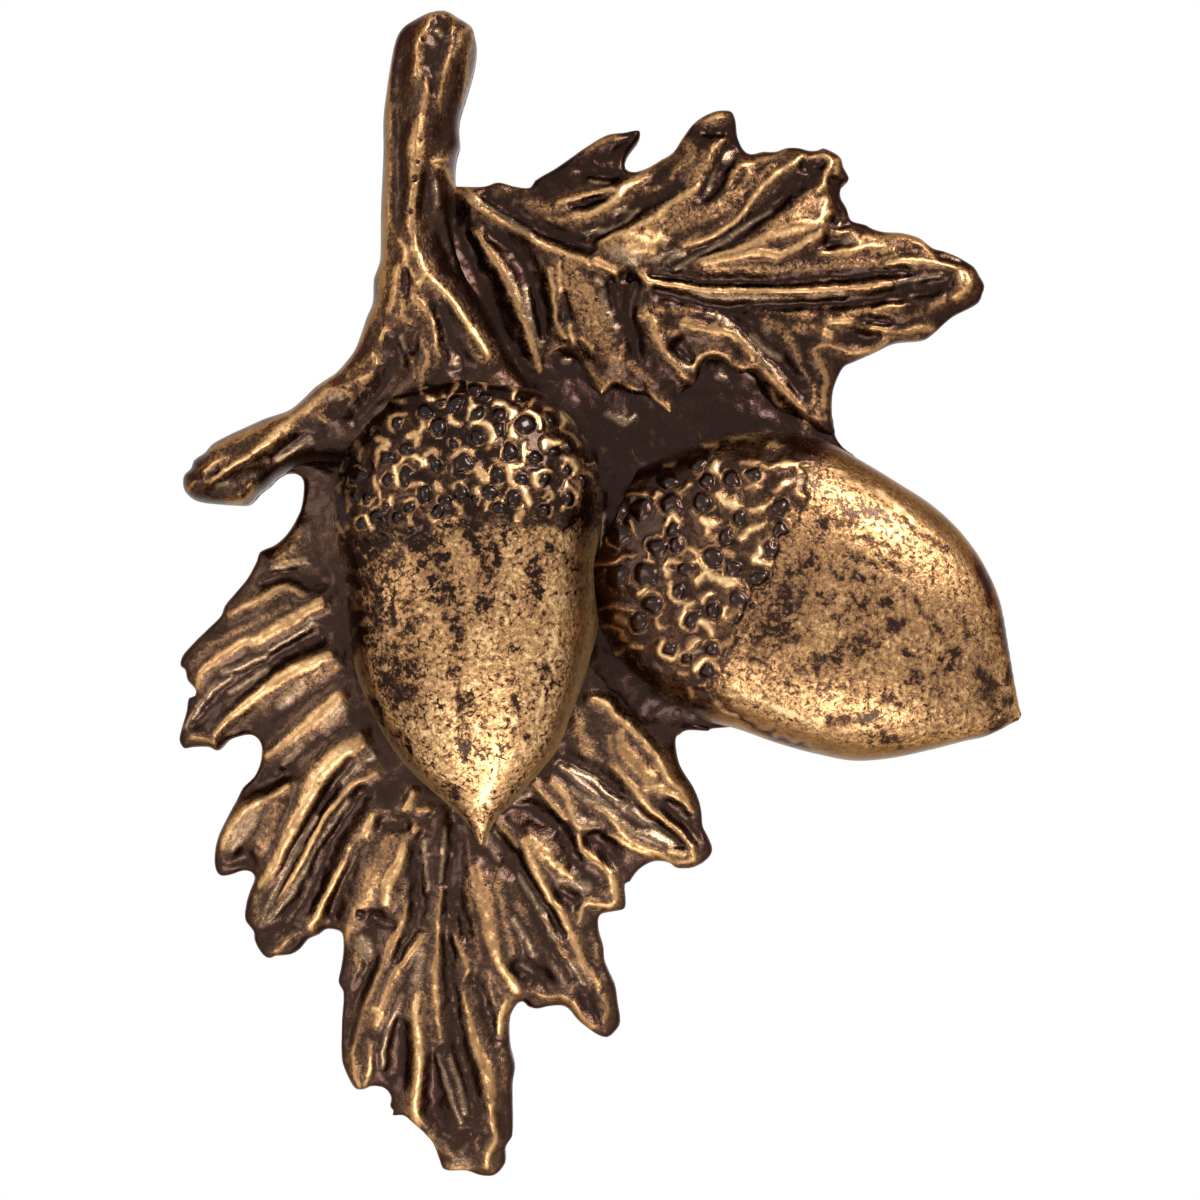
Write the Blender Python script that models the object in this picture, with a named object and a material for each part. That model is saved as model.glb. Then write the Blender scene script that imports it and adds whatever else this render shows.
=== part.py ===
"""Acorn branch drawer pull, cast in one piece.

The pull stands as it is fixed on an upright drawer front: X runs to the right, Z runs up,
and the drawer front is the plane Y = 0.  Two posts cast on the back stand on that plane,
and the relief of leaves, twig and acorns faces -Y.  The points of the drawing are (x, z)
in millimetres, measured from the middle between the two posts.
"""
import bpy
import bmesh
import numpy as np
from mathutils import Matrix

MM = 0.001

# Fixing to the drawer front
POST_SPACING = 64.0
POST_FOOT_RADIUS = 4.0
POST_ROOT_RADIUS = 4.4
POST_SEAT = 1.2
SCREW_HOLE_RADIUS = 1.75
SCREW_HOLE_DEPTH = 10.5
STANDOFF = 14.0

# Heights of the forms above the flat back, and the reach of their rounded edges
WEB_EDGE = 1.9
WEB_RISE = 1.2
WEB_REACH = 2.5
LEAF_EDGE = 2.1
LEAF_RISE = 2.2
LEAF_REACH = 4.0
TWIG_EDGE = 3.3
TWIG_RISE = 3.2
TWIG_REACH = 1.6
BLADE_ROUNDING = 0.8
TWIG_ROUNDING = 1.3

# Height and half width of each kind of carved line
FOLD_RISE = 1.7
FOLD_WIDTH = 2.1
RIDGE_RISE = 1.2
RIDGE_WIDTH = 1.5
NERVE_RISE = 0.7
NERVE_WIDTH = 0.9
VALLEY_DEPTH = 1.0
VALLEY_WIDTH = 1.4
LINE_FADE = 1.6

# Acorns: height of the edge, and the scales of the cap
ACORN_FLOOR = 2.1
CAP_LIP = 0.55
SCALE_PITCH = 2.1
SCALE_RADIUS = 0.85
SCALE_RISE = 0.55

# Fineness of the mesh
GRID_STEP = 0.45
OUTLINE_STEP = 0.5
POST_SIDES = 32
BODY_FACES = 9600

CAST_BRASS = (0.42, 0.27, 0.10, 1.0)

# Outlines, each a smooth closed curve through these points
TWIG_OUTLINE = (
    (-4.65, 30.8), (-4.6, 35), (-4.4, 40), (-4.4, 42.5), (-4.1, 45), (-3.8, 47), (-3.4, 49),
    (-2.9, 50), (-1.9, 50.7), (-0.4, 51.4), (0.8, 51.5), (1.7, 51), (2.9, 50.2), (3.2, 49.4),
    (3.3, 48.5), (3.2, 47.5), (3, 46.5), (2.6, 45.1), (2.2, 43.8), (1.9, 42.8), (1.8, 41.8),
    (1.9, 40.4), (1.65, 39.6), (1.5, 38.5), (1.5, 37.5), (1.7, 36), (1.6, 33), (2.6, 30),
    (4.6, 26.5), (6.6, 22.6), (8.4, 19.4), (6, 15), (0, 14), (-6, 14.5), (-8.5, 15.2),
    (-11.2, 14.2), (-13.3, 12.7), (-14, 12), (-14.9, 11.3), (-15.3, 10.8), (-15.8, 10.4),
    (-16.7, 10.4), (-18.3, 10.5), (-20, 10.75), (-20.9, 11.5), (-21.1, 12.2), (-21, 12.9),
    (-20.4, 13.5), (-20.2, 14.1), (-19.2, 14.8), (-18.7, 15.4), (-17.5, 16.1), (-15.8, 16.9),
    (-14.2, 17.6), (-12.2, 18.3), (-11, 19.3), (-10, 20.25), (-8.3, 21.4), (-7.5, 22.3),
    (-6.8, 23.25), (-6.3, 24.5), (-5.8, 26), (-5.3, 27.2), (-5.2, 29.2), (-4.9, 30),
)
UPPER_LEAF_OUTLINE = (
    (1.7, 37), (4, 37), (5.1, 37.35), (6.5, 37), (7.8, 36.9), (8.2, 37.5), (10, 38.6),
    (12.2, 40.1), (14.2, 41.3), (15.5, 41.5), (16.9, 41.7), (16.9, 41), (16.3, 40.2),
    (15.75, 39.3), (15.75, 38.5), (16.4, 38.2), (17.5, 38.5), (18.7, 39.2), (19.7, 39.8),
    (20.5, 41), (21.5, 42.3), (23, 43.2), (24.5, 43.3), (24.9, 42.6), (25.1, 41.2), (25.6, 40.1),
    (26.2, 39.7), (27.2, 39.9), (28.3, 39.9), (29.2, 40.2), (30.2, 40.2), (31, 40), (31.75, 40),
    (32.25, 40.2), (33.2, 39.8), (33.75, 39.3), (33.9, 38.7), (34.4, 37.6), (33.8, 37),
    (33.7, 36.2), (34.2, 35.2), (34.5, 34.2), (35, 34), (35.8, 33.8), (36.3, 33.5), (37.3, 33.2),
    (38.8, 33.1), (40.2, 32.7), (41.3, 31.9), (42.3, 31.6), (43.7, 31), (44.8, 30.3),
    (45.3, 29.5), (45.7, 28.7), (45.5, 28), (45.2, 27.3), (43.3, 26.3), (42.3, 25.5),
    (41.5, 24.75), (40.7, 24.25), (38.3, 24), (36.7, 23.25), (35, 22.5), (34, 22), (33.3, 20.7),
    (33, 19.5), (33, 17.5), (33.2, 16.3), (31.6, 16), (30.3, 17.2), (28.9, 17.9), (27.8, 18.6),
    (27, 20), (26.4, 21.4), (24.9, 21), (24, 22.2), (22.6, 22.4), (21.9, 20.6), (20.4, 19),
    (19.8, 17.2), (18.6, 18), (17.4, 19.3), (16, 19.6), (14.9, 20.2), (13.7, 19.3), (12.7, 20.6),
    (11.6, 22.6), (10.2, 23), (9.6, 21.6), (9.2, 19.6), (8, 17), (0, 16), (-2, 22), (-3.5, 28),
    (-2, 34), (0, 37),
)
LOWER_LEAF_OUTLINE = (
    (22.8, -8.3), (20.8, -8.4), (20, -8.9), (20, -10.1), (20.3, -11.3), (20.8, -12.2),
    (21.4, -13.1), (21.9, -14.3), (22.1, -15.3), (22.2, -16.4), (22.7, -17.4), (23, -18.4),
    (22.5, -19.2), (21.4, -19.8), (20.5, -19.9), (19.9, -19.8), (19.4, -19.4), (18.15, -19.3),
    (17.1, -19.8), (16.5, -20.4), (16.1, -21), (15.7, -21.2), (15.7, -23.2), (14.7, -23.5),
    (13.6, -23.8), (13.5, -25.1), (13.9, -26.5), (14, -27.7), (14.5, -28.9), (14.9, -29.8),
    (15.1, -31.2), (15.3, -32.8), (14.8, -33.6), (14.2, -34), (13.5, -33.8), (12.9, -33.4),
    (11.85, -32.6), (10.7, -31.4), (9.3, -31.4), (8.4, -31.6), (7.6, -31.4), (7.2, -31),
    (6.7, -31.2), (6.1, -32.4), (6.1, -34.8), (6.5, -36.5), (6.3, -38), (6.3, -42.2), (6, -42.7),
    (5.7, -43.3), (5.7, -44.5), (4.8, -45.5), (3.6, -45.5), (2.5, -45.1), (0.6, -45),
    (0.25, -44.2), (-0.3, -42.8), (-1.2, -41.8), (-2, -41.1), (-2.8, -40.5), (-3.7, -40.5),
    (-3.6, -40.1), (-3.9, -39.8), (-3.8, -39), (-4.3, -38.3), (-4.9, -38.1), (-5.6, -38.1),
    (-6, -38.3), (-6.75, -38.3), (-7.4, -37.3), (-7.9, -35.8), (-7.9, -32.5), (-7.8, -30.2),
    (-8.2, -29.4), (-8, -28.2), (-7.8, -26.7), (-7.9, -25.3), (-8.5, -25), (-9.3, -25),
    (-9.8, -25.4), (-10.7, -25.8), (-11.5, -26.7), (-12.3, -27.1), (-13.5, -27.2),
    (-13.9, -27.4), (-14.4, -27.2), (-14.9, -26.6), (-15.25, -25.8), (-15.3, -25.2),
    (-16, -24.2), (-15.9, -22.8), (-15.6, -21.8), (-15.2, -20.7), (-15.5, -20.2), (-16.2, -20.1),
    (-17.25, -20.45), (-18.1, -20.5), (-18.5, -19.8), (-18.5, -18.5), (-18.2, -17.2),
    (-17.3, -15.3), (-16.7, -14.2), (-16.2, -13.2), (-15.2, -12.2), (-14.7, -11), (-14.6, -9.8),
    (-14.9, -9.1), (-15.5, -8.75), (-16.5, -8.9), (-17.5, -9.3), (-18.25, -10.1), (-18.9, -9.8),
    (-19.5, -9.75), (-20.5, -9.8), (-21.1, -9.9), (-21.5, -9.2), (-21.3, -8.2), (-20.9, -6.8),
    (-20.7, -5.7), (-20.2, -5.5), (-20.1, -5), (-20.8, -4.2), (-21, -3.3), (-21.4, -3),
    (-21.25, -2.2), (-20.3, -1.1), (-19.2, 0), (-18, 1.2), (-17.7, 2), (-16.7, 3.2),
    (-15.8, 4.3), (-15, 5.8), (-14.75, 6.5), (-13.5, 7.1), (-12.5, 8), (-11.5, 9.7),
    (-11.2, 10.8), (-11.1, 12.2), (-11.3, 12.75), (-12, 13.1), (-12.7, 13.1), (-12, 14.2),
    (-8, 15), (2, 14), (12, 6), (17, -4),
)
WEB_OUTLINE = (
    (5, 24), (10, 24.4), (14, 21.5), (19, 20.5), (22, 23.2), (26, 22.4), (28, 20), (32.6, 18.6),
    (33.1, 17.5), (33.3, 16.2), (34, 15.2), (35, 14.3), (34, 10), (26, -7.4), (22.8, -8.3),
    (20.8, -8.4), (20, -8.9), (17, -9.4), (13, -7.5), (8, -3), (6, 10),
)

# Lines of the carving, each a smooth open curve
TWIG_FOLDS = (
    ((-0.4, 44.9), (-0.7, 43.6), (-1.25, 42.2), (-1.5, 40.8), (-1.5, 39.3), (-1.7, 37.5),
    (-1.8, 35.8), (-1.8, 34.4), (-1.9, 33), (-1.5, 31.7)),
    ((-1.3, 31.2), (-0.7, 30), (0.2, 28.7), (1.3, 27.2), (2.4, 25.5), (3.2, 24.3), (4.5, 22.3)),
    ((-3.6, 23.4), (-4.8, 22.5), (-5.8, 20.5), (-7.8, 19.8), (-9.5, 18.8), (-10.8, 17.8),
    (-12.5, 16.7), (-13.8, 15.7), (-15.2, 14.5), (-16.2, 13.7), (-17.5, 12.7), (-18.7, 11.8)),
)
TWIG_RIDGES = (
    ((-0.3, 50.7), (-0.55, 49.4), (-1.1, 48.75), (-1.4, 47.2), (-1.5, 45.6)),
    ((0.1, 50.7), (1.1, 50.9), (1.7, 50.4)),
    ((1.5, 50.4), (1.5, 49), (1.5, 48.3), (1.1, 46.9), (0.7, 45.4)),
    ((2.5, 49.7), (1.8, 48.2)),
    ((-1.8, 28.3), (-0.8, 27), (0, 25.3), (0.25, 23.3), (0.2, 21.8)),
    ((-2.7, 31.8), (-2.5, 30), (-2.7, 28.3), (-2.7, 26.7), (-2.3, 25.3)),
    ((-3.7, 31), (-3.8, 28), (-3.9, 26)),
    ((-17.2, 14.2), (-18.3, 13.3), (-19, 12.7)),
    ((-3.7, 34), (-3.6, 40), (-3.3, 46), (-2.6, 49.4)),
)
TWIG_VALLEYS = (
    ((-2.7, 47), (-3, 42), (-3.1, 36), (-3, 32.6)),
    ((0.2, 48.6), (0, 46.4), (0.7, 43), (0.3, 38), (0.1, 34), (0.9, 31)),
    ((-1.2, 25.8), (-0.9, 23), (-1.2, 20.6)),
    ((-8, 17.6), (-12, 15.2), (-16, 12.6)),
)
UPPER_LEAF_FOLDS = (
    ((21.7, 30.2), (24.2, 30.7), (26.3, 31.5), (28.3, 31), (30, 31.7), (30.8, 32.5), (32.3, 33)),
    ((32.7, 31.2), (34.3, 31.5), (35.8, 32), (37.2, 32.3)),
    ((11.6, 28.4), (12.6, 27.2), (13.6, 25.2), (14.4, 22.8)),
    ((10.6, 38.2), (12.3, 39.6), (15, 41)),
)
UPPER_LEAF_RIDGES = (
    ((2, 36.3), (4.2, 34.7), (5.8, 33.3), (7.5, 32.3), (9.3, 31.5), (11.3, 30.8), (12.7, 30.2)),
    ((13.3, 30.2), (15.2, 29.5)),
    ((16.8, 28.8), (20, 28.5), (21.7, 28.4), (25, 28.2), (28.3, 27.8), (31, 28), (33.3, 28.25),
    (35.8, 28.5), (37.7, 28.7), (40, 29.2), (41.8, 29.7)),
    ((14.2, 32.5), (16.7, 33.3), (20, 35.5), (21.7, 36.5)),
    ((17.5, 32), (18.8, 31.3)),
    ((7.8, 35.5), (10.7, 34.3), (11.7, 34.2), (14.3, 35), (15.7, 36.2), (17, 37.8), (18.3, 39),
    (19.7, 39.8)),
    ((27.2, 36.3), (28.3, 37.8), (30.3, 39), (31.7, 39.4)),
    ((24.7, 37.2), (25.5, 38.3), (27.2, 39.2), (28.8, 39.7), (30.3, 39.8)),
    ((2.3, 33.5), (3.8, 31.5), (5.5, 29.5), (7, 28.2), (7.5, 26.5), (7.3, 25), (8.3, 22.8),
    (8.8, 20.8), (9.1, 20.2)),
    ((9.2, 29.7), (9.7, 27.5), (10, 25.3)),
    ((16.3, 27.8), (18, 26.2), (18.5, 25), (18.7, 23.3), (19.2, 22.2), (20.5, 20.8), (22, 20)),
    ((20, 25.8), (21.7, 25.5), (23.3, 25), (24.2, 24.5), (25.8, 23.2), (26.5, 22.2),
    (27.7, 21.5), (28.8, 20.3)),
    ((26, 26.5), (27.3, 25.7), (28.7, 24.8), (30.3, 24.8)),
    ((31, 23.2), (32, 22), (32.5, 20.8), (32.3, 19.2), (31.3, 17.7)),
    ((20.6, 36.8), (21.4, 39), (22.8, 41.4), (24.2, 42.6)),
)
UPPER_LEAF_NERVES = (
    ((11, 35.5), (14.2, 36.3)),
    ((32.8, 38.8), (32.2, 38), (31.8, 36.7)),
    ((32.7, 35.7), (32, 34.3), (32.2, 33.3)),
    ((39, 33.1), (40.5, 32.5), (41.5, 31.2)),
    ((37.3, 30.3), (40, 30.5), (43, 30.3), (43.7, 29.8), (43.5, 28.3), (42.5, 27.3),
    (40.8, 26.8)),
    ((36.7, 26.5), (38.3, 26.8)),
    ((32.5, 25.7), (34.2, 25.3)),
    ((34.3, 23), (36.2, 23.2), (37.7, 23.9), (40, 24.5)),
    ((9.1, 20.8), (9.5, 22.8), (10.3, 23.5), (11.5, 23.2), (12.3, 22), (13, 20.8), (13.7, 19.75),
    (14.5, 20.3), (15.2, 20.7), (16, 20), (16.8, 19.9), (18, 19.3), (19, 18.3), (19.8, 17.3)),
    ((21.7, 22), (22.2, 22.7), (23.2, 23), (24.2, 22.8), (25, 22), (26.3, 22)),
    ((28.7, 23.8), (29.2, 22.5), (30.8, 20.3)),
    ((26.3, 21.7), (27.2, 20.2), (28, 18.8), (29, 18), (30.3, 17.5)),
)
UPPER_LEAF_VALLEYS = (
    ((11.7, 32.5), (17, 34.7), (20, 36.5)),
    ((20, 29.8), (21.7, 30.8), (25, 32.8), (27.5, 34.7), (30, 37), (32.3, 39)),
    ((13.3, 37.6), (14.2, 38.6)),
    ((22.3, 35.8), (24.7, 40)),
    ((17, 29.7), (22, 29.4), (30, 29.2), (38, 30.2)),
    ((17.5, 27.4), (24, 26.9), (32, 26.9), (39, 28.2)),
    ((24.4, 26.2), (26.6, 24.2), (28.4, 22.2), (29.8, 20.6)),
    ((5.5, 27.5), (6.6, 24.6), (7.6, 21.6)),
    ((8.2, 28.8), (8.6, 26), (8.9, 23.8)),
    ((17, 25), (17.4, 22.4), (18.4, 20.6)),
    ((3, 32.2), (5, 30.2), (6.6, 28.6)),
    ((3.6, 34.4), (6.6, 32), (10, 30.2), (15, 28.6)),
)
LOWER_LEAF_FOLDS = (
    ((-9.3, 1.8), (-10.8, 1.75), (-12.5, 0.8), (-13.7, 0), (-14.7, -1), (-15.8, -1.4),
    (-17.5, -2.3), (-19.3, -3.5), (-20, -4.8)),
    ((-9, -2.1), (-11, -3.3), (-12.5, -4.2), (-13.5, -4.8), (-15.8, -6.5), (-17.5, -7.7),
    (-18.5, -8.7)),
    ((-8, -5.2), (-9.2, -6.5), (-10.8, -8), (-12.2, -9), (-13.7, -10.5)),
    ((-5.3, -9.5), (-6.7, -10.2), (-8.3, -11.3), (-9.3, -12.8), (-10.3, -14.3), (-11.2, -15.7),
    (-12.2, -17.2), (-12.8, -18.8), (-13.7, -20.2), (-14.5, -21.2)),
    ((-5.2, -15.3), (-6.2, -17.2), (-7.3, -18.8), (-8.3, -20.7), (-9.2, -22.3), (-9.8, -23.8),
    (-10.4, -25.2)),
    ((3.5, -24.7), (4.2, -25.8), (5, -27.2), (5.7, -28.3), (6.3, -29.8), (6.8, -30.3)),
    ((2.5, -30.5), (3, -32.5), (3.7, -34.2), (3.5, -35.8), (4.2, -37.5), (4.7, -39)),
    ((7.4, -17.8), (8.6, -20.2), (9.6, -22.5), (10.6, -24.5), (11.65, -26.3), (12.7, -28.15),
    (13.6, -29.8)),
)
LOWER_LEAF_RIDGES = (
    ((-12.2, 3.75), (-14.2, 2.8), (-15.8, 2), (-17, 1.3)),
    ((-10.5, 6.7), (-12.2, 5.8), (-13.7, 5.7)),
    ((-12, -12.7), (-13.3, -13.8), (-14.7, -14.7), (-16.3, -15.5), (-17.3, -16.5),
    (-17.8, -17.8), (-17.7, -18.8)),
    ((-2.5, -17.8), (-3.2, -19.2), (-4, -20.5), (-3.8, -22.8)),
    ((-2, -22.8), (-2.8, -24.2), (-4, -26.2), (-4.7, -28), (-5.3, -30.2), (-6.2, -32),
    (-6.3, -33.2)),
    ((-1.2, -25.5), (-2.3, -27.3), (-3.3, -29), (-4.2, -30.5), (-4.8, -32.5), (-5.2, -34.2),
    (-5.6, -36.2)),
    ((-1.5, -30.5), (-1.6, -32.5), (-1.5, -35), (-1.3, -37.5), (-1.6, -39.2), (-1.5, -40.8)),
    ((0.6, -21.7), (0.3, -23.3), (0.25, -25.8), (-0.2, -28.7), (0.1, -30.8), (0.5, -33.7)),
    ((13.5, -6), (15.3, -7.6), (17.1, -9.25), (18.35, -10.7), (19.4, -12.3), (20.8, -13.9),
    (21.2, -14.7)),
    ((15.1, -11.5), (16.3, -13.1), (17.3, -14.1), (18.35, -15.3), (19.6, -16.4), (20.8, -17.4),
    (21.5, -18.4)),
    ((8, -12.7), (9.2, -13.9), (10.4, -15.1), (11.4, -16.4), (12.05, -17.6), (13.1, -18.8),
    (14.1, -20), (14.8, -21.4), (14.9, -22.9)),
    ((5.4, -17.2), (6.4, -19.4), (7.4, -21.4), (8.6, -23.6), (9.6, -25.6), (10.6, -27.4)),
)
LOWER_LEAF_NERVES = (
    ((-5, -20.8), (-5.8, -23), (-7, -24.7), (-7.3, -25.8)),
    ((-6.7, -35.8), (-6.6, -37.5)),
    ((1.1, -23.8), (1.8, -25.8), (2.6, -28.5)),
    ((2.8, -19.2), (2.5, -22.5)),
    ((4.3, -28.3), (4.8, -29.7), (4.75, -30.8)),
    ((4.6, -40.2), (4.7, -41.3), (4.9, -42.3), (4.7, -43.3), (4.2, -44.2)),
    ((5.9, -31.3), (5.5, -32.3), (5.25, -33.5)),
    ((-17.2, -19.8), (-15.7, -19.7)),
    ((8.6, -18.8), (11, -20.2)),
    ((17.5, -13.1), (19.2, -13.1), (20.4, -13.9)),
    ((13.9, -30.2), (14.2, -32.2)),
    ((10.6, -30.6), (11.85, -32), (12.9, -32.8)),
    ((9.6, -26.1), (10.4, -27.7), (11.2, -29.2)),
)
LOWER_LEAF_VALLEYS = (
    ((-9.2, -0.8), (-12.5, -2.5), (-15.8, -4.7), (-19.5, -7.6)),
    ((-4.8, -11.9), (-7, -13.4), (-8.3, -15), (-9.8, -17.2), (-10.8, -19), (-11.8, -21),
    (-13, -22.7), (-14.2, -24.4)),
    ((-1, -19), (-1.3, -22), (-2.6, -26), (-3.6, -30), (-4.4, -34)),
    ((10.2, -12.6), (12.4, -15.2), (13.6, -17.4), (15.5, -18.2)),
    ((12.6, -17.6), (15.6, -17.9)),
    ((-11.7, -7.2), (-14.5, -7.8)),
    ((-11, -9.3), (-12.8, -11.2)),
    ((-9.6, 3.6), (-13, 2.2), (-16.4, 0.2)),
    ((-10.5, 5), (-13.5, 4.4)),
    ((1.6, -20), (1.4, -24), (1, -30), (1.2, -38)),
    ((4.6, -19), (5.4, -22), (7.2, -26), (8.4, -29.5)),
    ((12, -9.5), (14.5, -11.5), (17.2, -15), (19.8, -18)),
    ((-8, -23.2), (-8.6, -24.4)),
    ((1.2, -41.7), (1.6, -43.6)),
    ((-14, -12.4), (-15, -12.8)),
    ((6.2, -16.6), (7.4, -19.6), (8.8, -22.8), (10.2, -26)),
)

# Each acorn runs from the crown of its cap to its tip.  A row gives the distance from the
# crown, the half width to the left and right of the axis, and the height of the crest.
FRONT_ACORN = {
    "crown": (2.0, 20.6),
    "tip": (3.2, -17.8),
    "cap_length": 12.2,
    "rows": (
        (0.0, 0.0, 0.0, 7.2), (0.7, 5.4, 5.2, 8.0), (2.2, 7.9, 7.4, 9.0), (6.0, 10.6, 10.1, 10.4),
        (9.4, 11.5, 11.0, 11.0), (12.5, 11.4, 11.0, 11.3), (15.5, 10.9, 10.5, 11.3),
        (20.5, 10.7, 10.3, 11.1), (24.3, 9.6, 9.8, 10.6), (27.7, 8.3, 8.5, 9.9),
        (30.8, 6.9, 6.8, 8.9), (33.6, 4.5, 4.3, 7.6), (35.0, 3.1, 2.8, 6.8),
        (36.0, 1.9, 1.8, 6.1), (37.0, 1.1, 1.0, 5.5), (38.4, 0.3, 0.3, 4.8),
    ),
}
SIDE_ACORN = {
    "crown": (14.6, 8.8),
    "tip": (48.3, -7.1),
    "cap_length": 13.6,
    "rows": (
        (0.0, 5.5, 6.0, 6.5), (2.0, 7.6, 7.8, 7.4), (4.5, 10.2, 9.8, 8.2), (8.0, 12.4, 11.2, 8.8),
        (11.5, 13.8, 11.6, 9.1), (14.0, 13.9, 11.5, 9.2), (16.5, 13.7, 11.0, 9.3),
        (20.3, 13.3, 10.6, 9.3), (23.7, 12.8, 10.0, 9.0), (26.9, 11.7, 9.1, 8.5),
        (29.5, 10.2, 7.6, 7.9), (32.0, 8.0, 5.7, 7.0), (34.3, 4.8, 3.8, 6.0),
        (36.0, 2.3, 2.4, 5.2), (37.3, 0.4, 0.6, 4.4),
    ),
}


def ease(share):
    """Smooth step from 0 to 1."""
    share = np.clip(share, 0.0, 1.0)
    return share * share * (3.0 - 2.0 * share)


def smooth_path(points, closed):
    """A smooth curve through the points, with a vertex about every OUTLINE_STEP."""
    points = np.asarray(points, dtype=float)
    if closed:
        before, start = np.roll(points, 1, 0), points
        end, after = np.roll(points, -1, 0), np.roll(points, -2, 0)
    else:
        start, end = points[:-1], points[1:]
        before = np.vstack([2.0 * points[0] - points[1], points[:-2]])
        after = np.vstack([points[2:], 2.0 * points[-1] - points[-2]])
    path = []
    for first, here, there, last in zip(before, start, end, after):
        span = np.linalg.norm(there - here)
        count = max(1, int(np.ceil(span / OUTLINE_STEP)))
        share = (np.arange(count) / count)[:, None]
        leave = (there - first) * span / (np.linalg.norm(here - first) + span)
        arrive = (last - here) * span / (np.linalg.norm(last - there) + span)
        path.append(
            (2.0 * share**3 - 3.0 * share**2 + 1.0) * here
            + (share**3 - 2.0 * share**2 + share) * leave
            + (3.0 * share**2 - 2.0 * share**3) * there
            + (share**3 - share**2) * arrive
        )
    if not closed:
        path.append(points[-1:])
    return np.vstack(path)


def nearest_on_path(places, path, closed):
    """Distance to a path, the nearest point on it, and the distance along it."""
    start = path if closed else path[:-1]
    step = (np.roll(path, -1, 0) if closed else path[1:]) - start
    length = np.maximum(np.linalg.norm(step, axis=1), 1e-9)
    run = np.concatenate([[0.0], np.cumsum(length)])
    best = np.full(len(places), np.inf)
    point = np.zeros_like(places)
    along = np.zeros(len(places))
    for index in range(len(start)):
        share = np.clip((places - start[index]) @ step[index] / length[index] ** 2, 0.0, 1.0)
        candidate = start[index] + share[:, None] * step[index]
        distance = np.hypot(*(places - candidate).T)
        closer = distance < best
        best[closer] = distance[closer]
        point[closer] = candidate[closer]
        along[closer] = run[index] + share[closer] * length[index]
    return best, point, along, run[-1]


def inside_path(places, path):
    """True where a place lies inside a closed path."""
    x, z = places.T
    result = np.zeros(len(places), dtype=bool)
    for (x0, z0), (x1, z1) in zip(path, np.roll(path, -1, 0)):
        if z0 == z1:
            continue
        crosses = (z0 > z) != (z1 > z)
        result ^= crosses & (x < (x1 - x0) * (z - z0) / (z1 - z0) + x0)
    return result


def carved_line(places, points, rise, width):
    """Height of one ridge, or depth of one valley, that fades at its ends."""
    path = smooth_path(points, closed=False)
    height = np.zeros(len(places))
    near = np.all((places > path.min(0) - width) & (places < path.max(0) + width), axis=1)
    if near.any():
        distance, _, along, total = nearest_on_path(places[near], path, closed=False)
        fade = min(LINE_FADE, total / 2.5)
        ends = ease(np.minimum(along, total - along) / fade + 0.25)
        reach = width * (0.55 + 0.45 * ends)
        crest = np.clip(1.0 - distance / reach, 0.0, 1.0)
        height[near] = rise * ends * crest**1.5 * (2.5 - 1.5 * crest)
    return height


def carving(places, ridges, valleys):
    """The highest ridge and the deepest valley over each place."""
    up = np.zeros(len(places))
    down = np.zeros(len(places))
    for lines, rise, width in ridges:
        for points in lines:
            up = np.maximum(up, carved_line(places, points, rise, width))
    for points in valleys:
        down = np.maximum(down, carved_line(places, points, VALLEY_DEPTH, VALLEY_WIDTH))
    return up, down


def blade_height(places, outline, edge, rise, reach, rounding, ridges=(), valleys=()):
    """Height of a flat form with a rounded edge and carved lines, and -inf outside it."""
    path = smooth_path(outline, closed=True)
    height = np.full(len(places), -np.inf)
    covered = inside_path(places, path)
    spots = places[covered]
    distance = nearest_on_path(spots, path, closed=True)[0]
    up, down = carving(spots, ridges, valleys)
    form = edge + rise * (1.0 - np.exp(-distance / reach)) + up - down * ease(distance / 1.5)
    corner = np.clip(1.0 - distance / rounding, 0.0, 1.0)
    height[covered] = form - rounding * (1.0 - np.sqrt(1.0 - corner**2))
    return height


def stations(rows, where):
    """Smooth values between the rows, for places at these distances from the crown."""
    rows = np.asarray(rows, dtype=float)
    key = rows[:, 0]
    slope = np.gradient(rows[:, 1:], key, axis=0)
    index = np.clip(np.searchsorted(key, where) - 1, 0, len(key) - 2)
    gap = (key[index + 1] - key[index])[:, None]
    share = np.clip((where - key[index])[:, None] / gap, 0.0, 1.0)
    return (
        (2.0 * share**3 - 3.0 * share**2 + 1.0) * rows[index, 1:]
        + (share**3 - 2.0 * share**2 + share) * gap * slope[index]
        + (3.0 * share**2 - 2.0 * share**3) * rows[index + 1, 1:]
        + (share**3 - share**2) * gap * slope[index + 1]
    )


def acorn_axes(acorn):
    """Crown, direction to the tip, and direction to the acorn's left, seen from the front."""
    crown, tip = np.array(acorn["crown"]), np.array(acorn["tip"])
    ahead = (tip - crown) / np.linalg.norm(tip - crown)
    return crown, ahead, np.array([-ahead[1], ahead[0]])


def acorn_height(places, acorn):
    """Height of a nut in its scaly cap, and -inf outside it."""
    crown, ahead, aside = acorn_axes(acorn)
    along = (places - crown) @ ahead
    across = (places - crown) @ aside
    key = [row[0] for row in acorn["rows"]]
    height = np.full(len(places), -np.inf)
    held = (along > key[0]) & (along < key[-1])
    right, left, crest = stations(acorn["rows"], along[held]).T
    half = np.where(across[held] > 0.0, right, left)
    share = np.abs(across[held]) / np.maximum(half, 0.05)
    dome = np.clip(1.0 - share**2.3, 0.0, 1.0) ** 0.62
    cap = ease((acorn["cap_length"] - along[held]) / 0.8 + 0.5)
    lip = CAP_LIP * cap * np.clip(1.0 - share**8, 0.0, 1.0)
    scales = cap * cap_scales(along[held], across[held], acorn["cap_length"])
    form = ACORN_FLOOR + (crest - ACORN_FLOOR) * dome + lip + scales
    height[held] = np.where(share < 1.0, form, -np.inf)
    return height


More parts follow.
